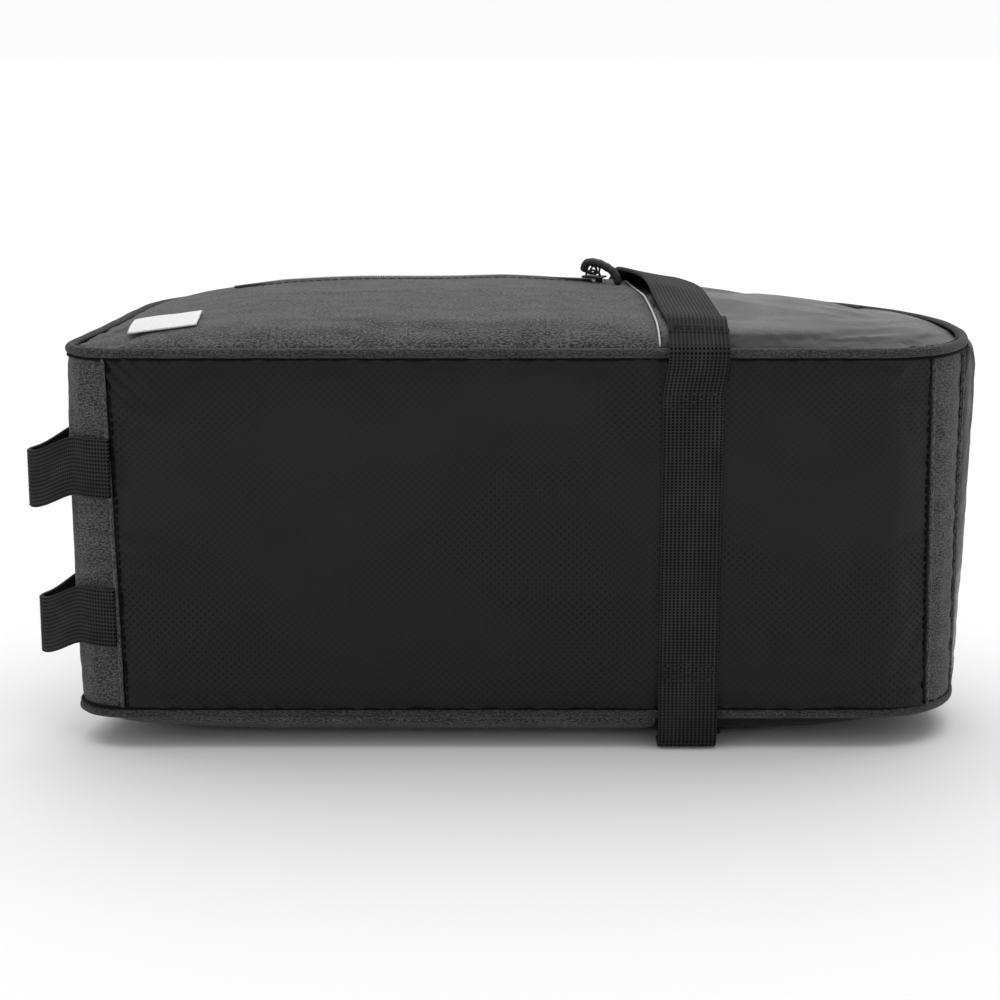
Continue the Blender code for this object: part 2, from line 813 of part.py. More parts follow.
def make_pull_grip(materials, collection, root):
    """The moulded puller: it starts beside the ring, arches over the slider's end and comes down."""
    top, along, across = pull_frame()
    beside = across * -(pull_wire_radius + grip_radius + clearance)
    start = top + beside - along * grip_start_back + Vector((0.0, 0.0, grip_radius + grip_over_slider))
    shares = np.linspace(0, 1, 13)
    stack = zip_tape_thickness + laid_clearance + clearance + grip_radius
    first_rise = start.z - side_level(start.x, start.y, left) - stack
    points = []
    for share in shares:
        x = start.x + along.x * grip_length * share
        y = start.y + along.y * grip_length * share
        rise = first_rise * (1 - smooth_step(share * 1.15)) + grip_arch * math.sin(math.pi * share)
        points.append((x, y, side_level(x, y, left) + stack + rise))
    finish = materials["grip_plastic"]
    grip = make_tube("zip_pull_grip", points, grip_radius, 2, False, finish, collection, root)
    for place, share in zip(grip.data.splines[0].points, shares):
        full = math.sqrt(math.sin(math.pi * min(max(share, 0.08), 0.92)))
        place.radius = grip_tip_share + (1 - grip_tip_share) * full


# Label


def make_label(materials, collection, root):
    turn = math.radians(label_turn)
    forward = np.array([math.cos(turn), math.sin(turn)])
    upward = np.array([-math.sin(turn), math.cos(turn)])
    centre = np.array([label_from_front, label_from_base])
    lines = []
    for up in np.linspace(-0.5, 0.5, 6):
        line = []
        for out in np.linspace(-0.5, 0.5, 8):
            x, y = centre + forward * (out * label_length + up * label_skew) + upward * up * label_width
            line.append((x, y, side_level(x, y, left) + laid_clearance))
        lines.append(line)
    sheet = make_sheet(lines, (body_length / 2, body_height / 2, 0.0))
    sheet_to_object(sheet, "label_patch", label_thickness, True, materials["label"], collection, root)


def set_down(root, collection):
    """Moves the bag so that its box is centred on X and Y and stands on Z = 0."""
    bpy.context.view_layer.update()
    graph = bpy.context.evaluated_depsgraph_get()
    lowest = np.full(3, np.inf)
    highest = np.full(3, -np.inf)
    for obj in collection.objects:
        if obj.type == "EMPTY":
            continue
        seen = obj.evaluated_get(graph)
        mesh = seen.to_mesh()
        corners = np.array([obj.matrix_world @ vertex.co for vertex in mesh.vertices])
        seen.to_mesh_clear()
        lowest = np.minimum(lowest, corners.min(axis=0))
        highest = np.maximum(highest, corners.max(axis=0))
    middle = (lowest + highest) / 2
    root.location = (-middle[0], -middle[1], -lowest[2])


def main():
    clear_scene()
    collection = bpy.data.collections.new("bicycle_trunk_bag")
    bpy.context.scene.collection.children.link(collection)
    root = bpy.data.objects.new("bag_place", None)
    collection.objects.link(root)
    materials = make_materials()
    make_band(materials, collection, root)
    patch = side_patch(30, 14)
    for side in (left, right):
        make_side(side, patch, materials, collection, root)
        make_edge_piping(side, materials, collection, root)
        make_reflective_piping(side, materials, collection, root)
    make_base_strap(materials, collection, root)
    make_body_strap(materials, collection, root)
    make_loop("front_loop_upper", upper_loop_at, upper_loop_reach, materials, collection, root)
    make_loop("front_loop_lower", lower_loop_at, lower_loop_reach, materials, collection, root)
    make_light_strip(materials, collection, root)
    make_zip_tape(materials, collection, root)
    make_slider(materials, collection, root)
    make_pull_loop(materials, collection, root)
    make_pull_grip(materials, collection, root)
    make_label(materials, collection, root)
    set_down(root, collection)


main()
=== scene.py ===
import math

import bmesh
import bpy
import numpy as np
from mathutils import Matrix, Vector, noise


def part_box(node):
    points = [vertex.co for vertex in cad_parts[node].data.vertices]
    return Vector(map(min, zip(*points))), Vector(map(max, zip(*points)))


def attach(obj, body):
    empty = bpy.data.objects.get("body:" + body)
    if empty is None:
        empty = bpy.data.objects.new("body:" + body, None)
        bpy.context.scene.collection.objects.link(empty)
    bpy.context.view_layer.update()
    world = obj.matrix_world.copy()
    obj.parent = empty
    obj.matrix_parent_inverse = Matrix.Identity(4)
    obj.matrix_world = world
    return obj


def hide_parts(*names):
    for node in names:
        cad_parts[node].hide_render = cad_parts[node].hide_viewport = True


# Bicycle trunk bag on its side, base panel towards the camera
# X runs from front to rear, Y from base to top, Z from right side to left side
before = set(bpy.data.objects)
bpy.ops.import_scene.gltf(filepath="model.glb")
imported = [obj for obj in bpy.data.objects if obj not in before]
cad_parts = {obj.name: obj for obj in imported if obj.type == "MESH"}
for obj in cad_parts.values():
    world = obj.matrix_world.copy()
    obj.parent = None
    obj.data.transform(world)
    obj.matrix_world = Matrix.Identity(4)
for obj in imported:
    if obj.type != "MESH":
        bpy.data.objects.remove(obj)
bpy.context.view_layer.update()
print("frame loaded")

# Sizes of the bag's body in metres, and its side outline as shares of length and height
bag = {
    "length": 0.3792,
    "height": 0.163,
    "width": 0.157,
    "pipingRadius": 0.00225,
    "clearance": 0.0003,
    "laid": 0.0006,
    "bend": 0.0010,
    "sideRoll": 0.030,
    "sideBulge": 0.0142,
    "sideCrown": 0.06,
    "restDepth": 0.0155,
    "wall": 0.0024,
    "paddingEdge": 0.012,
    "seamSkew": 0.0016,
    "seamSkewReach": 0.030,
}
halfWidth = bag["width"] / 2
panelInset = bag["pipingRadius"] + 2 * bag["clearance"]
floorDepth = halfWidth + bag["restDepth"]

outlineRows = [
    (0.053, 0.0),  # base, front end
    (0.025, 0.015),
    (0.007, 0.049),
    (0.000, 0.104),
    (0.017, 0.282),  # front
    (0.030, 0.429),
    (0.042, 0.577),
    (0.058, 0.712),
    (0.093, 0.822),
    (0.149, 0.901),
    (0.232, 0.960),  # top
    (0.344, 0.994),
    (0.470, 1.000),
    (0.591, 0.974),
    (0.700, 0.914),
    (0.798, 0.822),
    (0.884, 0.704),
    (0.937, 0.600),
    (0.969, 0.510),  # rear end
    (0.989, 0.415),
    (0.999, 0.300),
    (0.998, 0.210),
    (0.988, 0.130),
    (0.964, 0.058),
    (0.930, 0.015),
    (0.892, 0.0),  # base, rear end
]

bulgeRows = [
    # length share, left share, right share
    (0.00, 0.22, 0.35),
    (0.05, 0.33, 0.72),
    (0.10, 0.44, 0.94),
    (0.21, 0.66, 1.05),
    (0.48, 0.75, 1.07),
    (0.63, 0.70, 1.07),
    (0.75, 0.52, 1.07),
    (0.84, 0.40, 0.90),
    (0.93, 0.27, 0.48),
    (1.00, 0.20, 0.22),
]


def smoothStep(value):
    value = np.clip(value, 0.0, 1.0)
    return value * value * (3 - 2 * value)


def outlinePoint(row):
    count = len(outlineRows)
    first = math.floor(row)
    share = row - first
    near = [np.array(outlineRows[(first + step) % count]) for step in (-1, 0, 1, 2)]
    if near[1][1] == 0.0 and near[2][1] == 0.0:
        point = near[1] + (near[2] - near[1]) * share
    else:
        slopeIn = (near[2] - near[0]) / 2
        slopeOut = (near[3] - near[1]) / 2
        if near[1][1] == 0.0:
            slopeIn = np.array([near[2][0] - near[1][0], 0.0])
        if near[2][1] == 0.0:
            slopeOut = np.array([near[2][0] - near[1][0], 0.0])
        square = share * share
        cube = square * share
        point = (2 * cube - 3 * square + 1) * near[1] + (cube - 2 * square + share) * slopeIn
        point = point + (3 * square - 2 * cube) * near[2] + (cube - square) * slopeOut
    return np.array([point[0] * bag["length"], point[1] * bag["height"]])


tableSteps = 40
tableRows = np.arange(len(outlineRows) * tableSteps + 1) / tableSteps
outlineTable = np.array([outlinePoint(row) for row in tableRows])
pointsAfter = outlineTable[np.arange(1, len(tableRows) + 1) % (len(tableRows) - 1)]
pointsBefore = outlineTable[np.arange(len(tableRows)) - 1]
tableRuns = pointsAfter - pointsBefore
tableRuns[0] = outlineTable[1] - outlineTable[-2]
tableRuns[-1] = tableRuns[0]
tableNormals = np.stack([-tableRuns[:, 1], tableRuns[:, 0]], axis=1)
tableNormals /= np.linalg.norm(tableNormals, axis=1)[:, None]


def onOutline(rows):
    wrapped = np.asarray(rows) % len(outlineRows)
    return np.stack([np.interp(wrapped, tableRows, outlineTable[:, axis]) for axis in (0, 1)], axis=-1)


def outwards(rows):
    wrapped = np.asarray(rows) % len(outlineRows)
    found = np.stack([np.interp(wrapped, tableRows, tableNormals[:, axis]) for axis in (0, 1)], axis=-1)
    return found / np.linalg.norm(found, axis=-1)[..., None]


def lengthTable(first, last):
    rows = np.linspace(first, last, 600)
    points = onOutline(rows)
    lengths = np.concatenate([[0], np.cumsum(np.linalg.norm(np.diff(points, axis=0), axis=1))])
    return rows, lengths


def evenRows(first, last, steps, bias=0.0):
    rows, lengths = lengthTable(first, last)
    shares = np.linspace(0, 1, steps + 1)
    shares = shares + bias * (0.5 - 0.5 * np.cos(math.pi * shares) - shares)
    return np.interp(shares * lengths[-1], lengths, rows)


def edgeDistance(x, y):
    points = np.stack([x, y], axis=-1)
    starts = outlineTable[:-1:4]
    ends = np.roll(starts, -1, axis=0)
    best = np.full(len(points), 1.0)
    for start, end in zip(starts, ends):
        run = end - start
        share = np.clip((points - start) @ run / (run @ run), 0, 1)
        best = np.minimum(best, np.linalg.norm(points - start - share[:, None] * run, axis=1))
    return best


def topHeight(x):
    upper = outlineTable[outlineTable[:, 1] > bag["height"] * 0.35]
    order = np.argsort(upper[:, 0])
    return np.interp(x, upper[order, 0], upper[order, 1])


def seamX(y):
    above = y - seam["bendHeight"]
    return seam["atBase"] - seam["lean"] * (np.hypot(above, seam["bendReach"]) + above) / 2


def strapDent(x, y):
    away = np.abs(x - (bodyStrap["atBase"] - bodyStrap["lean"] * y)) - webbing["width"] / 2
    near = 1 - smoothStep((away - webbing["dentReach"] / 3) / webbing["dentReach"])
    return near * (webbing["thickness"] + 2 * bag["laid"])


def sideLevel(x, y, side):
    x = np.atleast_1d(x)
    y = np.atleast_1d(y)
    swells = [row[1] if side == left else row[2] for row in bulgeRows]
    swell = bag["sideBulge"] * np.interp(x / bag["length"], [row[0] for row in bulgeRows], swells)
    inside = edgeDistance(x, y) - panelInset
    roll = np.clip(inside / bag["sideRoll"], 0.0, 1.0)
    rise = swell * np.sqrt(1 - (1 - roll) ** 2) + bag["sideCrown"] * np.maximum(inside - bag["sideRoll"], 0.0)
    if side == right:
        rise = np.minimum(rise, bag["restDepth"] - strapDent(x, y))
    return halfWidth + rise


left = 1
right = -1

seam = {"atBase": 0.2474, "lean": 0.098, "bendHeight": 0.050, "bendReach": 0.030, "pipingRadius": 0.00048}

webbing = {
    "width": 0.0252,
    "thickness": 0.0019,
    "ribs": 15,
    "ribDepth": 0.00022,
    "edgeRound": 0.0007,
    "dentReach": 0.024,
}

bodyStrap = {
    "atBase": 0.2649,
    "lean": 0.090,
    "lift": 0.0056,
    "liftPlace": 0.20,
    "liftSpread": 0.10,
    "liftRear": 0.45,
    "start": 0.0120,
    "forward": 0.0065,
    "forwardFrom": 0.085,
    "forwardOver": 0.05,
}

# Where the bag stands in the row frame, from the CAD's own piping
leftLow, leftHigh = [Vector(corner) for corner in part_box("left_edge_piping")]
rightLow, rightHigh = [Vector(corner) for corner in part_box("right_edge_piping")]
bagPlace = np.array([
    leftLow.x + bag["pipingRadius"] - outlineTable[:, 0].min(),
    leftLow.y + bag["pipingRadius"] - outlineTable[:, 1].min(),
    (leftHigh.z + rightLow.z) / 2,
])

# Camera at the photograph's angle
cameraView = {
    "place": (0.18036, -1.0176, 0.2696),  # in the bag's own sizes
    "elevation": 14.0,
    "lens": 89.75,
    "sensor": 36.0,
}
camera = bpy.data.objects.new("camera", bpy.data.cameras.new("camera"))
bpy.context.scene.collection.objects.link(camera)
camera.location = Vector(cameraView["place"]) + Vector(bagPlace)
camera.rotation_euler = (math.radians(90 - cameraView["elevation"]), 0.0, 0.0)
camera.data.lens = cameraView["lens"]
camera.data.sensor_width = cameraView["sensor"]
camera.data.clip_start = 0.05
camera.data.clip_end = 20.0
bpy.context.scene.camera = camera
print("camera set")


# Node helpers for the materials
def newGroup(name, inputs, outputs):
    group = bpy.data.node_groups.new(name, "ShaderNodeTree")
    for label, kind, value in inputs:
        socket = group.interface.new_socket(name=label, in_out="INPUT", socket_type=kind)
        if value is not None:
            socket.default_value = value
    for label, kind in outputs:
        group.interface.new_socket(name=label, in_out="OUTPUT", socket_type=kind)
    return group, group.nodes.new("NodeGroupInput"), group.nodes.new("NodeGroupOutput")


def addNode(tree, kind, settings=None, **values):
    node = tree.nodes.new(kind)
    for key, value in (settings or {}).items():
        setattr(node, key, value)
    for key, value in values.items():
        spot = node.inputs[int(key[1:])] if key[0] == "i" and key[1:].isdigit() else node.inputs[key]
        if isinstance(value, bpy.types.NodeSocket):
            tree.links.new(value, spot)
        else:
            spot.default_value = value
    return node


def mathNode(tree, operation, first, second=0.5, third=0.5, clamp=False):
    settings = {"operation": operation, "use_clamp": clamp}
    return addNode(tree, "ShaderNodeMath", settings, i0=first, i1=second, i2=third).outputs[0]


def weighed(tree, first, firstPart, second, secondPart):
    start = mathNode(tree, "MULTIPLY", first, firstPart)
    return mathNode(tree, "ADD", start, mathNode(tree, "MULTIPLY", second, secondPart))


def mixColour(tree, factor, first, second):
    node = tree.nodes.new("ShaderNodeMix")
    node.data_type = "RGBA"
    for spot, value in ((0, factor), (6, first), (7, second)):
        if isinstance(value, bpy.types.NodeSocket):
            tree.links.new(value, node.inputs[spot])
        else:
            node.inputs[spot].default_value = value
    return node.outputs[2]


def rangeNode(tree, value, low, high, newLow, newHigh):
    node = tree.nodes.new("ShaderNodeMapRange")
    tree.links.new(value, node.inputs["Value"])
    for key, number in (("From Min", low), ("From Max", high), ("To Min", newLow), ("To Max", newHigh)):
        node.inputs[key].default_value = number
    return node.outputs["Result"]


def stretched(tree, vector, scale):
    return addNode(tree, "ShaderNodeMapping", {"vector_type": "POINT"}, Vector=vector, Scale=scale).outputs[0]


def noiseNode(tree, vector, scale, detail=3.0, rough=0.6):
    made = addNode(tree, "ShaderNodeTexNoise", None, Vector=vector, Scale=scale, Detail=detail, Roughness=rough)
    return made.outputs["Fac"]


# Heather threads: short light and dark streaks along the cloth's first direction, over a plain weave
def makeThreadGroup():
    group, given, put = newGroup(
        "heatherThreads",
        [("Cloth", "NodeSocketVector", None), ("Dark", "NodeSocketColor", (0.04, 0.04, 0.042, 1)),
         ("Light", "NodeSocketColor", (0.16, 0.16, 0.165, 1)), ("Contrast", "NodeSocketFloat", 1.0)],
        [("Color", "NodeSocketColor"), ("Height", "NodeSocketFloat"), ("Roughness", "NodeSocketFloat")],
    )
    cloth = given.outputs["Cloth"]
    streaks = noiseNode(group, stretched(group, cloth, (650, 1500, 1)), 1.0, 3.0, 0.65)
    short = noiseNode(group, stretched(group, cloth, (1300, 1900, 1)), 1.0, 2.0, 0.7)
    clouds = noiseNode(group, stretched(group, cloth, (60, 150, 1)), 1.0, 3.0, 0.6)
    mixed = weighed(group, streaks, 0.55, short, 0.45)
    mixed = weighed(group, mixed, 1.0, mathNode(group, "SUBTRACT", clouds, 0.5), 0.14)
    spread = mathNode(group, "MULTIPLY", mathNode(group, "SUBTRACT", mixed, 0.5), given.outputs["Contrast"])
    tone = rangeNode(group, spread, -0.05, 0.06, 0.0, 1.0)
    split = addNode(group, "ShaderNodeSeparateXYZ", None, Vector=cloth)
    warp = mathNode(group, "SINE", mathNode(group, "MULTIPLY", split.outputs[0], 2 * math.pi / 0.00052))
    weft = mathNode(group, "SINE", mathNode(group, "MULTIPLY", split.outputs[1], 2 * math.pi / 0.00052))
    weave = mathNode(group, "MULTIPLY", warp, weft)
    weaveTone = mathNode(group, "MULTIPLY", weave, 0.10)
    tone = mathNode(group, "ADD", tone, weaveTone, clamp=True)
    group.links.new(mixColour(group, tone, given.outputs["Dark"], given.outputs["Light"]), put.inputs["Color"])
    group.links.new(weighed(group, weave, 0.25, mixed, 1.2), put.inputs["Height"])
    group.links.new(rangeNode(group, streaks, 0.3, 0.7, 0.78, 0.95), put.inputs["Roughness"])
    return group


# Fine grain with a few broad soft marks, for coated cloth and moulded plastic
def makeGrainGroup():
    group, given, put = newGroup(
        "fineGrain",
        [("Place", "NodeSocketVector", None), ("Dark", "NodeSocketColor", (0.01, 0.01, 0.01, 1)),
         ("Light", "NodeSocketColor", (0.02, 0.02, 0.02, 1)), ("Fineness", "NodeSocketFloat", 1800.0),
         ("Smooth", "NodeSocketFloat", 0.38), ("Rough", "NodeSocketFloat", 0.55)],
        [("Color", "NodeSocketColor"), ("Height", "NodeSocketFloat"), ("Roughness", "NodeSocketFloat")],
    )
    place = given.outputs["Place"]
    cells = group.nodes.new("ShaderNodeTexVoronoi")
    cells.feature = "DISTANCE_TO_EDGE"
    group.links.new(place, cells.inputs["Vector"])
    group.links.new(given.outputs["Fineness"], cells.inputs["Scale"])
    fine = noiseNode(group, place, 900.0, 4.0, 0.6)
    broad = noiseNode(group, place, 38.0, 3.0, 0.55)
    tone = rangeNode(group, weighed(group, fine, 0.4, broad, 0.6), 0.35, 0.65, 0.0, 1.0)
    group.links.new(mixColour(group, tone, given.outputs["Dark"], given.outputs["Light"]), put.inputs["Color"])
    edge = rangeNode(group, cells.outputs["Distance"], 0.0, 0.12, 0.0, 1.0)
    group.links.new(mathNode(group, "ADD", edge, mathNode(group, "MULTIPLY", fine, 0.7)), put.inputs["Height"])
    wide = mathNode(group, "SUBTRACT", given.outputs["Rough"], given.outputs["Smooth"])
    spread = rangeNode(group, broad, 0.35, 0.65, 0.0, 1.0)
    roughness = mathNode(group, "MULTIPLY_ADD", spread, wide, given.outputs["Smooth"])
    group.links.new(roughness, put.inputs["Roughness"])
    return group


# Lint and dust that settles unevenly on dark cloth
def makeDustGroup():
    group, given, put = newGroup(
        "settledDust",
        [("Place", "NodeSocketVector", None), ("Color", "NodeSocketColor", (0.01, 0.01, 0.01, 1)),
         ("Dust", "NodeSocketColor", (0.12, 0.12, 0.12, 1)), ("Amount", "NodeSocketFloat", 0.05)],
        [("Color", "NodeSocketColor")],
    )
    specks = noiseNode(group, given.outputs["Place"], 620.0, 2.0, 0.8)
    clouds = noiseNode(group, given.outputs["Place"], 22.0, 3.0, 0.6)
    speck = rangeNode(group, specks, 0.62, 0.78, 0.0, 1.0)
    cloud = rangeNode(group, clouds, 0.4, 0.7, 0.2, 1.0)
    amount = mathNode(group, "MULTIPLY", mathNode(group, "MULTIPLY", speck, cloud), given.outputs["Amount"])
    colour = mixColour(group, amount, given.outputs["Color"], given.outputs["Dust"])
    group.links.new(colour, put.inputs["Color"])
    return group


threadGroup = makeThreadGroup()
grainGroup = makeGrainGroup()
dustGroup = makeDustGroup()


def startMaterial(name):
    material = bpy.data.materials.new(name)
    material.use_nodes = True
    tree = material.node_tree
    return material, tree, tree.nodes["Principled BSDF"]


def placeGroup(tree, group, **values):
    node = tree.nodes.new("ShaderNodeGroup")
    node.node_tree = group
    for key, value in values.items():
        if isinstance(value, bpy.types.NodeSocket):
            tree.links.new(value, node.inputs[key])
        else:
            node.inputs[key].default_value = value
    return node


def bumpTo(tree, shader, height, distance, strength=1.0):
    bump = addNode(tree, "ShaderNodeBump", None, Height=height, Distance=distance, Strength=strength)
    tree.links.new(bump.outputs["Normal"], shader.inputs["Normal"])


def clothPlace(tree):
    return addNode(tree, "ShaderNodeUVMap", {"uv_map": "cloth"}).outputs[0]


def objectPlace(tree):
    return tree.nodes.new("ShaderNodeTexCoord").outputs["Object"]


def heatherMaterial(name, dark, light, contrast):
    material, tree, shader = startMaterial(name)
    threads = placeGroup(
        tree, threadGroup, Cloth=clothPlace(tree), Dark=(*dark, 1), Light=(*light, 1), Contrast=contrast
    )
    tree.links.new(threads.outputs["Color"], shader.inputs["Base Color"])
    tree.links.new(threads.outputs["Roughness"], shader.inputs["Roughness"])
    shader.inputs["Specular IOR Level"].default_value = 0.25
    shader.inputs["Sheen Weight"].default_value = 0.12
    shader.inputs["Sheen Roughness"].default_value = 0.5
    bumpTo(tree, shader, threads.outputs["Height"], 0.00016)
    return material


# Coated base cloth: staggered lozenges pressed into it, with painted shade darkening the pressed dots
embossSizes = {"pitchAlong": 0.00346, "pitchAcross": 0.00332, "depth": 0.00020}


def embossedMaterial():
    material, tree, shader = startMaterial("embossedCoating")
    place = clothPlace(tree)
    split = addNode(tree, "ShaderNodeSeparateXYZ", None, Vector=place)
    along = mathNode(tree, "MULTIPLY", split.outputs[0], 2 * math.pi / embossSizes["pitchAlong"])
    across = mathNode(tree, "MULTIPLY", split.outputs[1], 2 * math.pi / embossSizes["pitchAcross"])
    lattice = mathNode(tree, "MULTIPLY", mathNode(tree, "COSINE", along), mathNode(tree, "COSINE", across))
    dots = rangeNode(tree, lattice, 0.15, 0.70, 0.0, 1.0)
    grain = placeGroup(
        tree, grainGroup, Place=place, Dark=(0.0050, 0.0050, 0.0052, 1), Light=(0.0105, 0.0105, 0.0108, 1),
        Fineness=1500.0, Smooth=0.40, Rough=0.52
    )
    worn = noiseNode(tree, stretched(tree, place, (9, 14, 1)), 1.0, 2.0, 0.5)
    pressed = mathNode(tree, "MULTIPLY", dots, rangeNode(tree, worn, 0.38, 0.60, 0.15, 1.0))
    # Painted shade: the pressed dots are darkened towards black, for the shade in their hollows
    paintedDotShade = mathNode(tree, "MULTIPLY", pressed, 0.8)
    colour = mixColour(tree, paintedDotShade, grain.outputs["Color"], (0.002, 0.002, 0.002, 1))
    dust = placeGroup(tree, dustGroup, Place=place, Color=colour, Dust=(0.10, 0.10, 0.10, 1), Amount=0.05)
    tree.links.new(dust.outputs["Color"], shader.inputs["Base Color"])
    tree.links.new(mathNode(tree, "ADD", grain.outputs["Roughness"], mathNode(tree, "MULTIPLY", pressed, 0.15)),
                   shader.inputs["Roughness"])
    shader.inputs["Specular IOR Level"].default_value = 0.22
    height = mathNode(tree, "SUBTRACT", mathNode(tree, "MULTIPLY", grain.outputs["Height"], 0.12), pressed)
    bumpTo(tree, shader, height, embossSizes["depth"])
    return material


def smoothCoatedMaterial():
    material, tree, shader = startMaterial("smoothCoating")
    place = objectPlace(tree)
    grain = placeGroup(
        tree, grainGroup, Place=place, Dark=(0.007, 0.007, 0.0073, 1), Light=(0.013, 0.013, 0.0135, 1),
        Fineness=1300.0, Smooth=0.26, Rough=0.38
    )
    dust = placeGroup(
        tree, dustGroup, Place=place, Color=grain.outputs["Color"], Dust=(0.14, 0.14, 0.14, 1), Amount=0.06
    )
    tree.links.new(dust.outputs["Color"], shader.inputs["Base Color"])
    tree.links.new(grain.outputs["Roughness"], shader.inputs["Roughness"])
    shader.inputs["Specular IOR Level"].default_value = 0.19
    bumpTo(tree, shader, grain.outputs["Height"], 0.00006)
    return material


# Webbing: weft picks across the ribs, and painted shade in the gaps between them
weaveSizes = {"pick": 0.00130, "depth": 0.00030}


def webbingMaterial():
    material, tree, shader = startMaterial("ribbedWebbing")
    place = clothPlace(tree)
    split = addNode(tree, "ShaderNodeSeparateXYZ", None, Vector=place)
    rib = mathNode(tree, "MULTIPLY", split.outputs[1], math.pi * webbing["ribs"] / webbing["width"])
    ribs = mathNode(tree, "ABSOLUTE", mathNode(tree, "COSINE", rib))
    turn = mathNode(tree, "MULTIPLY", split.outputs[0], 2 * math.pi / weaveSizes["pick"])
    picks = mathNode(tree, "MULTIPLY_ADD", mathNode(tree, "SINE", turn), 0.5, 0.5)
    besideRibs = rangeNode(tree, ribs, 0.45, 0.90, 1.0, 0.0)
    gaps = mathNode(tree, "MULTIPLY", besideRibs, rangeNode(tree, picks, 0.10, 0.50, 0.0, 1.0))
    fibre = noiseNode(tree, stretched(tree, place, (900, 5200, 1)), 1.0, 3.0, 0.6)
    patch = noiseNode(tree, stretched(tree, place, (40, 60, 1)), 1.0, 2.0, 0.5)
    tone = rangeNode(tree, weighed(tree, fibre, 0.6, patch, 0.4), 0.35, 0.65, 0.0, 1.0)
    colour = mixColour(tree, tone, (0.018, 0.018, 0.0185, 1), (0.050, 0.050, 0.051, 1))
    # Painted shade: the gaps beside the ribs are mixed towards black, for the shade between the threads
    colour = mixColour(tree, gaps, colour, (0.0008, 0.0008, 0.0008, 1))
    dust = placeGroup(tree, dustGroup, Place=place, Color=colour, Dust=(0.15, 0.15, 0.15, 1), Amount=0.08)
    tree.links.new(dust.outputs["Color"], shader.inputs["Base Color"])
    tree.links.new(rangeNode(tree, fibre, 0.3, 0.7, 0.5, 0.72), shader.inputs["Roughness"])
    shader.inputs["Specular IOR Level"].default_value = 0.06
    height = weighed(tree, weighed(tree, picks, 0.45, gaps, -1.2), 1.0, fibre, 0.25)
    bumpTo(tree, shader, height, weaveSizes["depth"])
    return material


def threadMaterial(name, dark, light, rough=0.6, depth=0.00008):
    material, tree, shader = startMaterial(name)
    place = objectPlace(tree)
    fibre = noiseNode(tree, place, 2600.0, 3.0, 0.7)
    broad = noiseNode(tree, place, 300.0, 2.0, 0.5)
    tone = weighed(tree, fibre, 0.6, broad, 0.4)
    colour = mixColour(tree, rangeNode(tree, tone, 0.35, 0.65, 0.0, 1.0), (*dark, 1), (*light, 1))
    tree.links.new(colour, shader.inputs["Base Color"])
    tree.links.new(rangeNode(tree, fibre, 0.3, 0.7, rough - 0.08, rough + 0.08), shader.inputs["Roughness"])
    shader.inputs["Specular IOR Level"].default_value = 0.1
    bumpTo(tree, shader, fibre, depth)
    return material


def grainMaterial(name, dark, light, fineness, smooth, rough, depth, metallic=0.0, level=0.5):
    material, tree, shader = startMaterial(name)
    grain = placeGroup(
        tree, grainGroup, Place=objectPlace(tree), Dark=(*dark, 1), Light=(*light, 1), Fineness=fineness,
        Smooth=smooth, Rough=rough
    )
    tree.links.new(grain.outputs["Color"], shader.inputs["Base Color"])
    tree.links.new(grain.outputs["Roughness"], shader.inputs["Roughness"])
    shader.inputs["Metallic"].default_value = metallic
    shader.inputs["Specular IOR Level"].default_value = level
    bumpTo(tree, shader, grain.outputs["Height"], depth)
    return material


heather = heatherMaterial("heatherCloth", (0.010, 0.010, 0.011), (0.125, 0.125, 0.129), 1.0)
# Painted shade: a dimmer copy of the heather for the front panel and rear strip, which face sideways away from
# the overhead light
heatherShadedCopy = heatherMaterial("heatherGussetShaded", (0.010, 0.010, 0.011), (0.108, 0.108, 0.112), 1.0)
# Painted shade: a darker copy of the heather for the piping, with the shade of its round sides and of the
# crease beside it painted in
heatherPipingShaded = heatherMaterial("heatherPipingShaded", (0.007, 0.007, 0.008), (0.068, 0.068, 0.071), 1.0)
embossed = embossedMaterial()
smoothCoated = smoothCoatedMaterial()
webbingCloth = webbingMaterial()
# The dark thread material is real thread on the base seams and the light holder, and also the painted shade in
# the piping's creases
darkThreadAndCreaseShade = threadMaterial("darkThreadAndCreaseShade", (0.001, 0.001, 0.001), (0.004, 0.004, 0.004))
greyThread = threadMaterial("greyThread", (0.035, 0.035, 0.036), (0.080, 0.080, 0.082))
webbingThread = threadMaterial("webbingThread", (0.02, 0.02, 0.02), (0.05, 0.05, 0.05))
reflective = grainMaterial(
    "reflectivePiping", (0.42, 0.42, 0.42), (0.60, 0.60, 0.60), 3200.0, 0.35, 0.5, 0.00003
)
zipCloth = heatherMaterial("zipTape", (0.006, 0.006, 0.006), (0.022, 0.022, 0.022), 0.8)
zipNylon = grainMaterial("zipCoil", (0.010, 0.010, 0.010), (0.020, 0.020, 0.020), 2500.0, 0.3, 0.45, 0.00002)
zipMetal = grainMaterial(
    "zipPaint", (0.004, 0.004, 0.004), (0.010, 0.010, 0.010), 2200.0, 0.35, 0.5, 0.00003, level=0.3
)
gripRubber = grainMaterial(
    "gripRubber", (0.010, 0.010, 0.010), (0.018, 0.018, 0.018), 1700.0, 0.42, 0.58, 0.00005
)
labelCloth = heatherMaterial("wovenLabel", (0.70, 0.70, 0.70), (0.84, 0.84, 0.835), 0.5)
labelEdge = heatherMaterial("labelEdge", (0.80, 0.80, 0.80), (0.92, 0.92, 0.92), 0.4)
print("materials made")


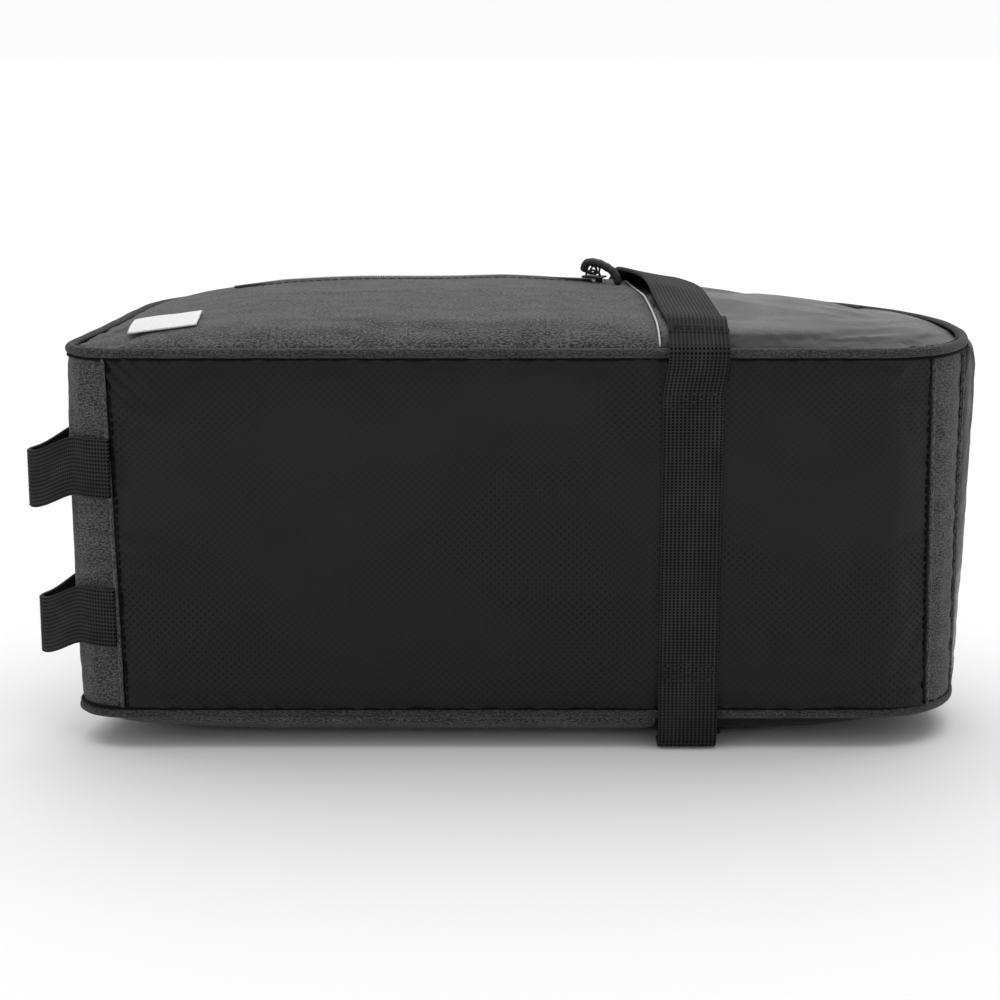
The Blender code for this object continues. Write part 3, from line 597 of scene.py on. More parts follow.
# Mesh helpers
def makeGrid(columns, rows, place):
    # place takes arrays of shares and gives points in the bag's own sizes and cloth coordinates in metres
    sheet = bmesh.new()
    bmesh.ops.create_grid(sheet, x_segments=columns, y_segments=rows, size=0.5)
    sheet.verts.index_update()
    shares = np.array([(vertex.co.x + 0.5, vertex.co.y + 0.5) for vertex in sheet.verts])
    points, flat = place(shares[:, 0], shares[:, 1])
    points = points + bagPlace
    layer = sheet.loops.layers.uv.new("cloth")
    for vertex, point in zip(sheet.verts, points):
        vertex.co = point
    for face in sheet.faces:
        for corner in face.loops:
            corner[layer].uv = flat[corner.vert.index]
    return sheet


def turnOut(sheet, centre):
    # turns the faces away from a point in the bag's own sizes
    sheet.normal_update()
    middle = Vector(centre) + Vector(bagPlace)
    facing = sum(face.normal.dot(face.calc_center_median() - middle) * face.calc_area() for face in sheet.faces)
    if facing < 0:
        bmesh.ops.reverse_faces(sheet, faces=sheet.faces[:])
    return sheet


bagMiddle = (bag["length"] / 2, bag["height"] / 2, 0.0)


def addPiece(name, sheet, material, replaced=(), wall=None, outward=False):
    mesh = bpy.data.meshes.new(name)
    sheet.to_mesh(mesh)
    sheet.free()
    piece = bpy.data.objects.new(name, mesh)
    bpy.context.scene.collection.objects.link(piece)
    mesh.materials.append(material)
    mesh.shade_smooth()
    if wall:
        solid = piece.modifiers.new("wall", "SOLIDIFY")
        solid.thickness = wall
        solid.offset = 1.0 if outward else -1.0
        solid.use_even_offset = False
    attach(piece, "root")
    if replaced:
        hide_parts(*replaced)
    return piece


def softNoise(first, second, size, seed):
    return np.array([noise.noise(Vector((a / size, b / size, seed))) for a, b in zip(first, second)])


def pucker(away, along, depth, reach, size, seed):
    # small gathers beside a seam, at right angles to it
    wave = softNoise(along, np.zeros(len(along)), size, seed)
    return depth * np.exp(-np.maximum(away, 0.0) / reach) * wave * 2.0


# Cloth that is blown out a little between its sewn edges
clothRun = {"frames": 14, "quality": 5, "mass": 0.2, "tension": 18.0, "bending": 0.6, "damping": 8.0}


def settle(piece, pressure, grow, cap):
    mesh = piece.data
    edgeVerts = sorted({index for edge in boundaryEdges(mesh) for index in edge})
    group = piece.vertex_groups.new(name="sewn")
    group.add(edgeVerts, 1.0, "REPLACE")
    before = np.empty(len(mesh.vertices) * 3)
    mesh.vertices.foreach_get("co", before)
    others = [(modifier, modifier.show_viewport) for modifier in piece.modifiers]
    for modifier, shown in others:
        modifier.show_viewport = False
    cloth = piece.modifiers.new("cloth", "CLOTH")
    settings = cloth.settings
    settings.quality = clothRun["quality"]
    settings.mass = clothRun["mass"]
    settings.tension_stiffness = clothRun["tension"]
    settings.compression_stiffness = clothRun["tension"]
    settings.shear_stiffness = clothRun["tension"] / 2
    settings.bending_stiffness = clothRun["bending"]
    settings.tension_damping = clothRun["damping"]
    settings.compression_damping = clothRun["damping"]
    settings.air_damping = 2.0
    settings.vertex_group_mass = "sewn"
    settings.use_pressure = True
    settings.uniform_pressure_force = pressure
    settings.shrink_min = -grow
    settings.effector_weights.gravity = 0.0
    cloth.collision_settings.use_collision = False
    scene = bpy.context.scene
    for number in range(1, clothRun["frames"] + 1):
        scene.frame_set(number)
    graph = bpy.context.evaluated_depsgraph_get()
    after = np.empty(len(mesh.vertices) * 3)
    piece.evaluated_get(graph).data.vertices.foreach_get("co", after)
    piece.modifiers.remove(cloth)
    scene.frame_set(1)
    move = (after - before).reshape(-1, 3)
    far = np.linalg.norm(move, axis=1)
    move *= (cap * np.tanh(far / cap) / np.maximum(far, 1e-9))[:, None]
    mesh.vertices.foreach_set("co", (before.reshape(-1, 3) + move).ravel())
    mesh.update()
    for modifier, shown in others:
        modifier.show_viewport = shown
    piece.vertex_groups.remove(group)
    largest = float(np.linalg.norm(move, axis=1).max())
    print("settled", piece.name, "largest move in mm", round(largest * 1000, 2))


def boundaryEdges(mesh):
    count = {}
    for polygon in mesh.polygons:
        for key in polygon.edge_keys:
            count[key] = count.get(key, 0) + 1
    return [key for key, uses in count.items() if uses == 1]


# The band of panels round the bag, and the outline's rows at its seams
seamRows = {"topFront": 7.6, "topRear": 17.6, "rearStrip": 21.6, "rearBase": 23.3, "frontBase": 26.2}
wrapStart = seamRows["frontBase"] - len(outlineRows)
bandPanels = [
    # name, node, first row, last row, slanted ends, grid, padding, low share, material, slot, fill
    ("frontPanelCloth", "front_panel", wrapStart, seamRows["topFront"], ("first",), (110, 70),
     0.0009, 1.0, heatherShadedCopy, "heather", 0.4),
    ("topPanelCloth", "top_panel", seamRows["topFront"], seamRows["topRear"], (), (150, 66),
     0.0030, 1.0, heather, "heather", 0.5),
    ("rearPanelCloth", "rear_panel", seamRows["topRear"], seamRows["rearStrip"], (), (60, 96),
     0.0058, 0.45, smoothCoated, "smooth_coated", 0.7),
    ("rearStripCloth", "rear_strip", seamRows["rearStrip"], seamRows["rearBase"], ("last",), (22, 96),
     0.0010, 1.0, heatherShadedCopy, "heather", 0.4),
    ("basePanelCloth", "base_panel", seamRows["rearBase"], seamRows["frontBase"], ("first", "last"), (170, 84),
     0.0022, 1.0, embossed, "embossed_coated", 0.5),
]
bandRelief = {
    "waves": 0.00035,
    "waveSize": 0.055,
    "gathers": 0.00022,
    "gatherReach": 0.006,
    "gatherSize": 0.0065,
}
tuckedEdge = bag["pipingRadius"] * 0.8
bandEdge = halfWidth - tuckedEdge


def endBias(shares, bias=0.6):
    return shares + bias * (0.5 - 0.5 * np.cos(math.pi * shares) - shares)


def bandStand(first, last, ends, padding, lowShare, along, across):
    # a point of the band at a length along it and a place across it
    rows, lengths = lengthTable(first, last)
    whole = lengths[-1]
    row = np.interp(along, lengths, rows)
    edge = np.minimum(halfWidth - np.abs(across), np.minimum(along, whole - along))
    roll = np.clip(edge / bag["paddingEdge"], 0.0, 1.0)
    stand = padding * np.sqrt(1 - (1 - roll) ** 2)
    stand = stand * (lowShare + (1 - lowShare) * (1 + across / bandEdge) / 2)
    shift = np.zeros(len(along))
    for end, fromEnd in (("first", along), ("last", whole - along)):
        if end in ends:
            near = np.maximum(1 - fromEnd / bag["seamSkewReach"], 0.0)
            shift -= bag["seamSkew"] * (across / bandEdge) * near
    return row, stand, shift


def bandPoint(row, stand, shift, across):
    flat = onOutline(row) + outwards(row) * stand[:, None]
    return np.stack([flat[:, 0] + shift, flat[:, 1], across], axis=1)


# The base panel's own marks: a crease above its lower rear edge and a pucker at its upper front corner
baseMarks = {"creaseDepth": 0.0006, "creaseAt": -0.0700, "puckerDepth": 0.0008}


def bandRise(name, along, across, whole):
    seed = sum(ord(letter) for letter in name) * 0.37
    sideAway = bandEdge - np.abs(across)
    endAway = np.minimum(along, whole - along)
    inner = smoothStep(np.minimum(sideAway, endAway) / 0.012)
    rise = bandRelief["waves"] * softNoise(along, across, bandRelief["waveSize"], seed) * inner * 1.6
    gathers = bandRelief["gathers"] * (0.6 if name == "basePanelCloth" else 1.0)
    rise += pucker(sideAway, along, gathers, bandRelief["gatherReach"], bandRelief["gatherSize"], seed + 3)
    rise += pucker(endAway, across, gathers, bandRelief["gatherReach"], bandRelief["gatherSize"], seed + 7)
    if name == "basePanelCloth":
        x = whole - along
        frontEnd = onOutline(np.array([seamRows["frontBase"]]))[0, 0]
        fromStrap = np.abs(x + frontEnd - baseStrap["at"]) - webbing["width"] / 2 - baseStrap["pressMargin"]
        rise -= baseStrap["press"] * (1 - smoothStep(fromStrap / baseStrap["pressEdge"]))
        line = across - baseMarks["creaseAt"] - 0.0025 * np.sin(x * 60)
        rise -= baseMarks["creaseDepth"] * np.exp(-(line / 0.0022) ** 2) * smoothStep((0.06 - along) / 0.04)
        corner = np.hypot(x - 0.004, across - bandEdge + 0.006)
        rise += baseMarks["puckerDepth"] * np.exp(-(corner / 0.010) ** 2) * np.cos((x + across) * 900)
    return rise


def makeBand():
    for name, node, first, last, ends, cuts, padding, lowShare, finish, slotName, fill in bandPanels:
        def place(u, v):
            whole = lengthTable(first, last)[1][-1]
            along = bag["clearance"] / 2 + endBias(u) * (whole - bag["clearance"])
            across = (2 * endBias(v) - 1) * bandEdge
            row, stand, shift = bandStand(first, last, ends, padding, lowShare, along, across)
            stand = stand + bandRise(name, along, across, whole)
            return bandPoint(row, stand, shift, across), np.stack([along, across], axis=1)
        sheet = turnOut(makeGrid(cuts[0], cuts[1], place), bagMiddle)
        piece = addPiece(name, sheet, finish, (node,), bag["wall"])
        settle(piece, pressure=1.2, grow=0.006, cap=0.0011)
    print("band panels made")


# The two side panels, each cut at its slanted seam
sidePanels = {
    "columns": 190,
    "rows": 90,
    "waves": 0.0006,
    "waveSize": 0.045,
    "tuck": 0.0011,
    "tuckReach": 0.0030,
}
sideCorners = (1.6, 8.2, 17.8, 23.4)
gathering = {
    "depth": 0.0007,
    "reach": 0.013,
    "size": 0.0075,
    "dent": 0.0016,
    "dentAt": (0.229, 0.066),
    "dentSize": (0.017, 0.022),
}
rearCrease = {"depth": 0.0012, "from": (0.300, 0.098), "to": (0.352, 0.046), "width": 0.006}


def insetPoint(rows):
    return onOutline(rows) - outwards(rows) * tuckedEdge


def patchPoint(u, v):
    lowFront, highFront, highRear, lowRear = sideCorners
    count = len(outlineRows)
    alongBase = insetPoint(np.interp(u, np.linspace(0, 1, 401), evenRows(lowFront + count, lowRear, 400, 0.5)))
    alongTop = insetPoint(np.interp(u, np.linspace(0, 1, 401), evenRows(highFront, highRear, 400, 0.5)))
    upFront = insetPoint(np.interp(v, np.linspace(0, 1, 401), evenRows(lowFront, highFront, 400, 0.8)))
    upRear = insetPoint(np.interp(v, np.linspace(0, 1, 401), evenRows(lowRear, highRear, 400, 0.8)))
    partUp = (0.2 * v + 0.8 * (0.5 - 0.5 * np.cos(math.pi * v)))[:, None]
    part = (0.5 * u + 0.5 * (0.5 - 0.5 * np.cos(math.pi * u)))[:, None]
    corners = [insetPoint(np.array([row]))[0] for row in (lowFront, lowRear, highFront, highRear)]
    across = (1 - partUp) * alongBase + partUp * alongTop
    upward = (1 - part) * upFront + part * upRear
    twice = (1 - part) * (1 - partUp) * corners[0] + part * (1 - partUp) * corners[1]
    twice = twice + (1 - part) * partUp * corners[2] + part * partUp * corners[3]
    return across + upward - twice


def lineAway(x, y, start, end):
    run = np.array(end) - np.array(start)
    share = np.clip(((x - start[0]) * run[0] + (y - start[1]) * run[1]) / (run @ run), 0, 1)
    return np.hypot(x - start[0] - share * run[0], y - start[1] - share * run[1]), share


def sideRise(x, y, side):
    # folds, gathers and tucks of a side panel, over its plain level
    edge = edgeDistance(x, y) - panelInset
    inner = smoothStep(edge / 0.02)
    fromSeam = x - seamX(y)
    rise = -sidePanels["tuck"] * np.exp(-(fromSeam / sidePanels["tuckReach"]) ** 2)
    if side == right:
        return rise * 0.5
    rise += sidePanels["waves"] * softNoise(x, y, sidePanels["waveSize"], 4.2) * inner * 1.6
    rise += pucker(edge, x * 1.7 + y, 0.00028, 0.007, 0.0070, 9.1)
    front = np.maximum(-fromSeam, 0.0)
    folds = softNoise(x * 0.35, y, gathering["size"], 2.6)
    rise += gathering["depth"] * np.exp(-front / gathering["reach"]) * folds * (fromSeam < 0) * inner
    besideDent = (x - gathering["dentAt"][0]) / gathering["dentSize"][0]
    overDent = (y - gathering["dentAt"][1]) / gathering["dentSize"][1]
    rise -= gathering["dent"] * np.exp(-besideDent ** 2 - overDent ** 2)
    away, share = lineAway(x, y, rearCrease["from"], rearCrease["to"])
    ridge = np.exp(-(away / rearCrease["width"]) ** 2) * np.sin(math.pi * share)
    rise += rearCrease["depth"] * ridge
    return rise


def makeSides():
    keepOff = seam["pipingRadius"] * 0.6
    parts = (("Front", 1, heather, "heather"), ("Rear", -1, smoothCoated, "smooth_coated"))
    for side, label in ((left, "left"), (right, "right")):
        for part, turn, material, slotName in parts:
            def place(u, v):
                flat = patchPoint(u, v)
                level = sideLevel(flat[:, 0], flat[:, 1], side) + sideRise(flat[:, 0], flat[:, 1], side)
                if side == right:
                    level = np.minimum(level, floorDepth)
                warped = flat[:, 0] - seamX(flat[:, 1])
                return np.stack([warped, flat[:, 1], side * level], axis=1), flat
            sheet = makeGrid(sidePanels["columns"], sidePanels["rows"], place)
            bmesh.ops.bisect_plane(
                sheet,
                geom=sheet.verts[:] + sheet.edges[:] + sheet.faces[:],
                plane_co=(bagPlace[0] - turn * keepOff, 0.0, 0.0),
                plane_no=(turn, 0.0, 0.0),
                clear_outer=True,
                dist=0.000001,
            )
            for vertex in sheet.verts:
                vertex.co.x += float(seamX(vertex.co.y - bagPlace[1]))
            turnOut(sheet, bagMiddle)
            node = f"{label}_side_{part.lower()}"
            piece = addPiece(f"{label}Side{part}Cloth", sheet, material, (node,), bag["wall"])
            if side == left:
                settle(piece, pressure=1.5, grow=0.008, cap=0.0010)
    print("side panels made")


# Tubes: piping, wire, rings and the puller
def makeTube(points, radius, sides, closed=False, squash=1.0, radii=None, outs=None):
    points = np.asarray(points, dtype=float)
    count = len(points)
    ahead = np.roll(points, -1, axis=0) - np.roll(points, 1, axis=0)
    if not closed:
        ahead[0] = points[1] - points[0]
        ahead[-1] = points[-1] - points[-2]
    ahead /= np.linalg.norm(ahead, axis=1)[:, None]
    out = np.zeros((count, 3))
    if outs is None:
        start = np.array([0.0, 0.0, 1.0]) if abs(ahead[0][2]) < 0.9 else np.array([1.0, 0.0, 0.0])
        for index in range(count):
            start = start - ahead[index] * (start @ ahead[index])
            start /= np.linalg.norm(start)
            out[index] = start
    else:
        out = outs - ahead * (outs * ahead).sum(axis=1)[:, None]
        out /= np.linalg.norm(out, axis=1)[:, None]
    across = np.cross(ahead, out)
    sizes = np.full(count, radius) if radii is None else np.asarray(radii)
    lengths = np.concatenate([[0], np.cumsum(np.linalg.norm(np.diff(points, axis=0), axis=1))])
    rowsUsed = count if closed else count - 1
    def place(u, v):
        step = np.rint(u * rowsUsed).astype(int)
        angle = 2 * math.pi * v
        ring = step % count
        size = sizes[ring][:, None]
        around = out[ring] * np.cos(angle)[:, None] * squash + across[ring] * np.sin(angle)[:, None]
        spot = points[ring] + around * size
        closing = lengths[-1] + np.linalg.norm(points[0] - points[-1])
        run = np.where(step >= count, closing, lengths[np.minimum(step, count - 1)])
        return spot, np.stack([run, v * 2 * math.pi * radius], axis=1)
    sheet = makeGrid(rowsUsed, sides, place)
    bmesh.ops.remove_doubles(sheet, verts=sheet.verts[:], dist=radius * 0.02)
    if not closed:
        bmesh.ops.holes_fill(sheet, edges=[edge for edge in sheet.edges if edge.is_boundary], sides=0)
    bmesh.ops.recalc_face_normals(sheet, faces=sheet.faces[:])
    return sheet


pipingJoints = {
    # where the piping's tape is lapped over itself, as a place along the bag
    left: 0.1750,
    right: 0.1800,
    "length": 0.0085,
    "rise": 0.00022,
}


def makeEdgePiping():
    for side, label in ((left, "left"), (right, "right")):
        rows = evenRows(0, len(outlineRows), 620)[:-1]
        flat = onOutline(rows)
        points = np.column_stack([flat, np.full(len(rows), side * halfWidth)])
        _, lengths = lengthTable(0, len(outlineRows))
        along = np.linspace(0, lengths[-1], len(rows), endpoint=False)
        wobble = softNoise(along, np.zeros(len(rows)), 0.012, 5.0 + side) * 0.00012
        radii = bag["pipingRadius"] * 0.97 + wobble
        lap = np.abs(flat[:, 0] - pipingJoints[side]) / pipingJoints["length"]
        lapped = (flat[:, 1] < 0.01) * (1 - smoothStep((lap - 0.8) / 0.2))
        radii = radii + pipingJoints["rise"] * lapped
        sheet = makeTube(points, bag["pipingRadius"], 20, closed=True, radii=radii)
        addPiece(f"{label}EdgePiping", sheet, heatherPipingShaded, (f"{label}_edge_piping",))
        makeCreaseShade(side, label, rows)
        makeReflectivePiping(side, label)
    print("pipings made")


# Painted shade: thin dark tubes laid in the creases on both sides of the piping, standing in for the shade
# there
creaseShade = {"radius": 0.00070, "bandAside": 0.0026, "bandStand": 0.0010, "sideAside": 0.0026, "sideStand": 0.0010}


def makeCreaseShade(side, label, rows):
    onBand = onOutline(rows) + outwards(rows) * creaseShade["bandStand"]
    onSide = onOutline(rows) - outwards(rows) * creaseShade["sideAside"]
    lines = (
        ("Band", onBand, side * (halfWidth - creaseShade["bandAside"])),
        ("Side", onSide, side * (halfWidth + creaseShade["sideStand"])),
    )
    for place, flat, level in lines:
        points = np.column_stack([flat, np.full(len(rows), level)])
        sheet = makeTube(points, creaseShade["radius"], 8, closed=True)
        # painted shade tube in the crease beside the piping
        addPiece(f"{label}CreaseShade{place}", sheet, darkThreadAndCreaseShade)


def makeReflectivePiping(side, label):
    sunk = seam["pipingRadius"] * (0.1 if side == left else 4.0)
    heights = np.linspace(0, bag["height"], 400)
    x = seamX(heights)
    inside = (edgeDistance(x, heights) > panelInset * 1.15) & (heights > panelInset) & (heights < topHeight(x))
    heights = np.linspace(heights[inside][0], heights[inside][-1], 150)
    x = seamX(heights)
    level = sideLevel(x, heights, side) - sunk
    if side == left:
        level = level + sideRise(x, heights, side) * 0.35
    points = np.column_stack([x, heights, side * level])
    sheet = makeTube(points, seam["pipingRadius"], 12)
    addPiece(f"{label}ReflectivePiping", sheet, reflective, (f"{label}_reflective_piping",))


# Webbing straps and loops: a ribbed section carried along lines that lie on the bag
def webbingSection(thickness):
    width = webbing["width"] / 2
    perRib = 4
    count = webbing["ribs"] * perRib
    upper = []
    for step in range(count + 1):
        across = -1 + 2 * step / count
        rib = abs(math.sin(math.pi * step / perRib))
        edge = np.clip((width - abs(across) * width) / webbing["edgeRound"], 0.0, 1.0)
        curve = math.sqrt(1 - (1 - edge) ** 2)
        height = thickness / 2 * (0.35 + 0.65 * curve) - webbing["ribDepth"] * (1 - rib) * edge
        upper.append((across, height))
    lower = [(across, -height) for across, height in upper[::-1]]
    section = np.array(upper + lower + upper[:1])
    section[:, 1] += thickness / 2
    return section


def makeWebbing(inner, out, thickness=webbing["thickness"], extra=None):
    # inner and out: lines across the width, each with its points along the strap
    lines, steps = inner.shape[:2]
    section = webbingSection(thickness)
    middle = inner[lines // 2]
    lengths = np.concatenate([[0], np.cumsum(np.linalg.norm(np.diff(middle, axis=0), axis=1))])
    extra = np.zeros(steps) if extra is None else extra
    def place(u, v):
        step = np.rint(u * (steps - 1)).astype(int)
        part = np.rint(v * (len(section) - 1)).astype(int)
        across = section[part, 0]
        height = section[part, 1] * (1 + extra[step] / thickness)
        low = np.clip(((across + 1) / 2 * (lines - 1)).astype(int), 0, lines - 2)
        share = ((across + 1) / 2 * (lines - 1) - low)[:, None]
        base = inner[low, step] * (1 - share) + inner[low + 1, step] * share
        up = out[low, step] * (1 - share) + out[low + 1, step] * share
        up /= np.linalg.norm(up, axis=1)[:, None]
        flat = np.stack([lengths[step], (across + 1) * webbing["width"] / 2], axis=1)
        return base + up * height[:, None], flat
    sheet = makeGrid(steps - 1, len(section) - 1, place)
    bmesh.ops.remove_doubles(sheet, verts=sheet.verts[:], dist=0.00001)
    bmesh.ops.holes_fill(sheet, edges=[edge for edge in sheet.edges if edge.is_boundary], sides=0)
    bmesh.ops.recalc_face_normals(sheet, faces=sheet.faces[:])
    return sheet


def tightRoute(points, steps, weight=0.012):
    # the tight line over the points of a section, from first to last, with closer steps where it bends
    points = np.asarray(points, dtype=float)
    line = [0]
    side = outerSide(points)
    while line[-1] < len(points) - 1:
        here = points[line[-1]]
        best = line[-1] + 1
        for index in range(line[-1] + 2, len(points)):
            run = points[best] - here
            other = points[index] - here
            turn = run[0] * other[1] - run[1] * other[0]
            if turn * side >= 0:
                best = index
        line.append(best)
    chain = points[line]
    runs = np.diff(chain, axis=0)
    headings = np.unwrap(np.arctan2(runs[:, 1], runs[:, 0]))
    turns = np.concatenate([[0], np.abs(np.diff(headings)), [0]])
    weights = np.linalg.norm(runs, axis=1) + weight * (turns[:-1] + turns[1:]) / 2
    lengths = np.concatenate([[0], np.cumsum(weights)])
    places = np.linspace(0, lengths[-1], steps + 1)
    return np.stack([np.interp(places, lengths, chain[:, axis]) for axis in (0, 1)], axis=1)


def outerSide(points):
    # which way the route turns round the bag
    middle = points.mean(axis=0)
    runs = np.diff(points, axis=0)
    seen = points[:-1] - middle
    return -np.sign((seen[:, 0] * runs[:, 1] - seen[:, 1] * runs[:, 0]).sum())


def ringPoints(centreY, centreZ, reach, start, end, count=9):
    angles = np.radians(np.linspace(start, end, count))
    return [(centreY + reach * math.cos(angle), centreZ + reach * math.sin(angle)) for angle in angles]


def smoothLine(line, times):
    line = line.copy()
    for _ in range(times):
        line[1:-1] = (line[:-2] + 2 * line[1:-1] + line[2:]) / 4
    return line


def routeOut(route):
    along = np.gradient(route, axis=0)
    along /= np.linalg.norm(along, axis=1)[:, None]
    return np.stack([-along[:, 1], along[:, 0]], axis=1)


def bodyStrapRoute(offset, steps):
    reach = bag["pipingRadius"] + bag["bend"]
    top = float(topHeight(bodyStrap["atBase"] + offset - bodyStrap["lean"] * bag["height"]))
    heights = np.linspace(bodyStrap["start"], top - bag["sideRoll"] * 0.3, 60)
    x = bodyStrap["atBase"] + offset - bodyStrap["lean"] * heights
    points = list(zip(heights, sideLevel(x, heights, left) + bag["laid"]))
    points += ringPoints(top, halfWidth, reach, 90, 0)
    overTop = top + 0.0030 + bag["laid"]
    points += [(overTop, across) for across in np.linspace(0.9, -0.9, 7) * halfWidth]
    points += ringPoints(top, -halfWidth, reach, 0, -90)
    down = list(zip(heights, -sideLevel(x, heights, right) - bag["laid"]))
    points += down[::-1]
    return smoothLine(tightRoute(points, steps), 3)


def makeBodyStrap():
    steps = 260
    inner = []
    out = []
    for share in np.linspace(-1, 1, 9):
        offset = share * webbing["width"] / 2
        route = bodyStrapRoute(offset, steps)
        outward = routeOut(route)
        if outward[steps // 2][0] < 0:
            outward = -outward
        index = np.arange(steps + 1) / steps
        humped = np.exp(-((index - bodyStrap["liftPlace"]) / bodyStrap["liftSpread"]) ** 2)
        frontPart = ((1 - share) / 2) ** 1.5
        lift = bodyStrap["lift"] * humped * (bodyStrap["liftRear"] + (1 - bodyStrap["liftRear"]) * frontPart)
        x = bodyStrap["atBase"] + offset - bodyStrap["lean"] * route[:, 0]
        upper = smoothStep((route[:, 0] - bodyStrap["forwardFrom"]) / bodyStrap["forwardOver"])
        x = x - bodyStrap["forward"] * upper * smoothStep(0.5 + route[:, 1] / halfWidth)
        inner.append(np.column_stack([x, route + outward * np.reshape(lift, (-1, 1))]))
        out.append(np.column_stack([np.zeros(steps + 1), outward]))
    inner = np.array(inner)
    out = np.array(out)
    tilt = np.gradient(inner, axis=0)
    ahead = np.gradient(inner, axis=1)
    square = np.cross(ahead, tilt)
    square /= np.linalg.norm(square, axis=2)[..., None]
    square *= np.sign((square * out).sum(axis=2))[..., None]
    sheet = makeWebbing(inner, square)
    addPiece("bodyStrapWebbing", sheet, webbingCloth, ("body_strap",))
    return inner, square


baseStrap = {
    "at": 0.2607,
    "end": 0.0175,
    "press": 0.0006,
    "pressMargin": 0.0010,
    "pressEdge": 0.0020,
    "under": 0.0110,
    "endShift": 0.0022,
    "stitchAt": 0.0590,
    "hem": 0.0125,
    "hemRise": 0.0006,
    "bendAt": 0.0030,
    "bendRadius": 0.006,
}


def baseStrapRoute(offset):
    x = baseStrap["at"] + offset
    reach = bag["pipingRadius"] + bag["bend"]
    over = webbing["thickness"] + bag["clearance"] + bag["laid"]
    face = baseStrap["press"] - 0.0022 - bag["laid"] / 2
    heights = np.linspace(baseStrap["end"], bodyStrap["start"] + webbing["thickness"], 14)
    level = sideLevel(np.full(len(heights), x), heights, left) + over + bag["laid"]
    points = list(zip(heights, level))
    points += ringPoints(0.0, halfWidth, reach, 90, 180)
    points.append((face, baseStrap["stitchAt"]))
    leftPart = tightRoute(points, 90)
    floorLevel = -floorDepth + webbing["thickness"]
    points = [(face, -baseStrap["stitchAt"])]
    points += ringPoints(0.0, -halfWidth, reach, 180, 225, 6)
    bend = baseStrap["bendRadius"]
    points += ringPoints(baseStrap["bendAt"], floorLevel + bend, bend, 215, 270, 8)
    points.append((baseStrap["under"], floorLevel))
    rightPart = tightRoute(points, 80)
    middle = [(face, z) for z in np.linspace(baseStrap["stitchAt"], -baseStrap["stitchAt"], 100)[1:-1]]
    return smoothLine(np.concatenate([leftPart, np.array(middle), rightPart]), 4)


def makeBaseStrap():
    inner = []
    out = []
    for share in np.linspace(-1, 1, 5):
        offset = share * webbing["width"] / 2
        route = baseStrapRoute(offset)
        outward = routeOut(route)
        if outward[len(route) // 2][0] > 0:
            outward = -outward
        drift = (route[:, 1] - baseStrap["stitchAt"]) / (halfWidth - baseStrap["stitchAt"])
        x = baseStrap["at"] + baseStrap["endShift"] * smoothStep(drift) + offset
        inner.append(np.column_stack([x, route]))
        out.append(np.column_stack([np.zeros(len(route)), outward]))
    inner = np.array(inner)
    out = np.array(out)
    middle = inner[2]
    lengths = np.concatenate([[0], np.cumsum(np.linalg.norm(np.diff(middle, axis=0), axis=1))])
    extra = baseStrap["hemRise"] * (1 - smoothStep((lengths - baseStrap["hem"]) / 0.0010))
    free = smoothStep((np.abs(middle[:, 2]) - baseStrap["stitchAt"]) / 0.004)
    wave = 0.0003 * softNoise(lengths, np.zeros(len(lengths)), 0.016, 8.8) * (1 - free)
    inner = inner + out * (wave + 0.0001)[None, :, None]
    sheet = makeWebbing(inner, out, extra=extra)
    addPiece("baseStrapWebbing", sheet, webbingCloth, ("base_strap",))
    return inner, out, lengths


loops = {
    "upperAt": 0.0297,
    "lowerAt": -0.0355,
    "upperReach": 0.0211,
    "lowerReach": 0.0186,
    "farSeam": 0.0440,
    "farFlat": 0.0080,
    "droop": 0.0098,
    "droopStart": 0.004,
    "bendRadius": 0.0042,
    "sag": 0.0010,
    "rise": 0.0015,
}


def loopLine(reach):
    stand = 0.0009 + bag["laid"]
    sewnRows = np.linspace(0.25, 1.8, 7)
    sewn = onOutline(sewnRows) + outwards(sewnRows) * stand
    rows = np.linspace(-0.3, 7.0, 400)
    heights = onOutline(rows)[:, 1]
    far = np.interp([loops["farSeam"], loops["farSeam"] + loops["farFlat"]], heights, rows)
    ends = onOutline(far) + outwards(far) * stand
    bend = np.array([-reach, (sewn[-1][1] + ends[0][1]) / 2])
    angles = np.radians(np.linspace(250, 110, 9))
    arc = [bend + loops["bendRadius"] * np.array([1 + math.cos(angle), math.sin(angle)]) for angle in angles]
    under = (sewn[-1] + arc[0]) / 2 - np.array([0.0, loops["sag"]])
    over = (ends[0] + arc[-1]) / 2 + np.array([0.0, loops["rise"]])
    line = np.array(list(sewn) + [under] + arc + [over, ends[0], ends[1]])
    lengths = np.concatenate([[0], np.cumsum(np.linalg.norm(np.diff(line, axis=0), axis=1))])
    places = np.linspace(0, lengths[-1], 111)
    dense = np.stack([np.interp(places, lengths, line[:, axis]) for axis in (0, 1)], axis=1)
    return smoothLine(dense, 12)


def makeLoop(name, node, middle, reach):
    line = loopLine(reach)
    outward = routeOut(line)
    centre = line.mean(axis=0)
    if ((line - centre) * outward).sum() < 0:
        outward = -outward
    inner = []
    out = []
    for share in (-1.0, 0.0, 1.0):
        drop = smoothStep((loops["droopStart"] - line[:, 0]) / (loops["droopStart"] + reach))
        z = middle + share * webbing["width"] / 2 - loops["droop"] * drop
        inner.append(np.column_stack([line, z]))
        out.append(np.column_stack([outward, np.zeros(len(line))]))
    sheet = makeWebbing(np.array(inner), np.array(out))
    addPiece(name, sheet, webbingCloth, (node,))


# Stitches: one short thread, laid many times along a line
def stitchTemplate():
    seed = bmesh.new()
    bmesh.ops.create_uvsphere(seed, u_segments=6, v_segments=4, radius=1.0)
    seed.verts.index_update()
    points = np.array([vertex.co[:] for vertex in seed.verts])[:, [2, 0, 1]]
    faces = [[vertex.index for vertex in face.verts] for face in seed.faces]
    seed.free()
    return points, faces


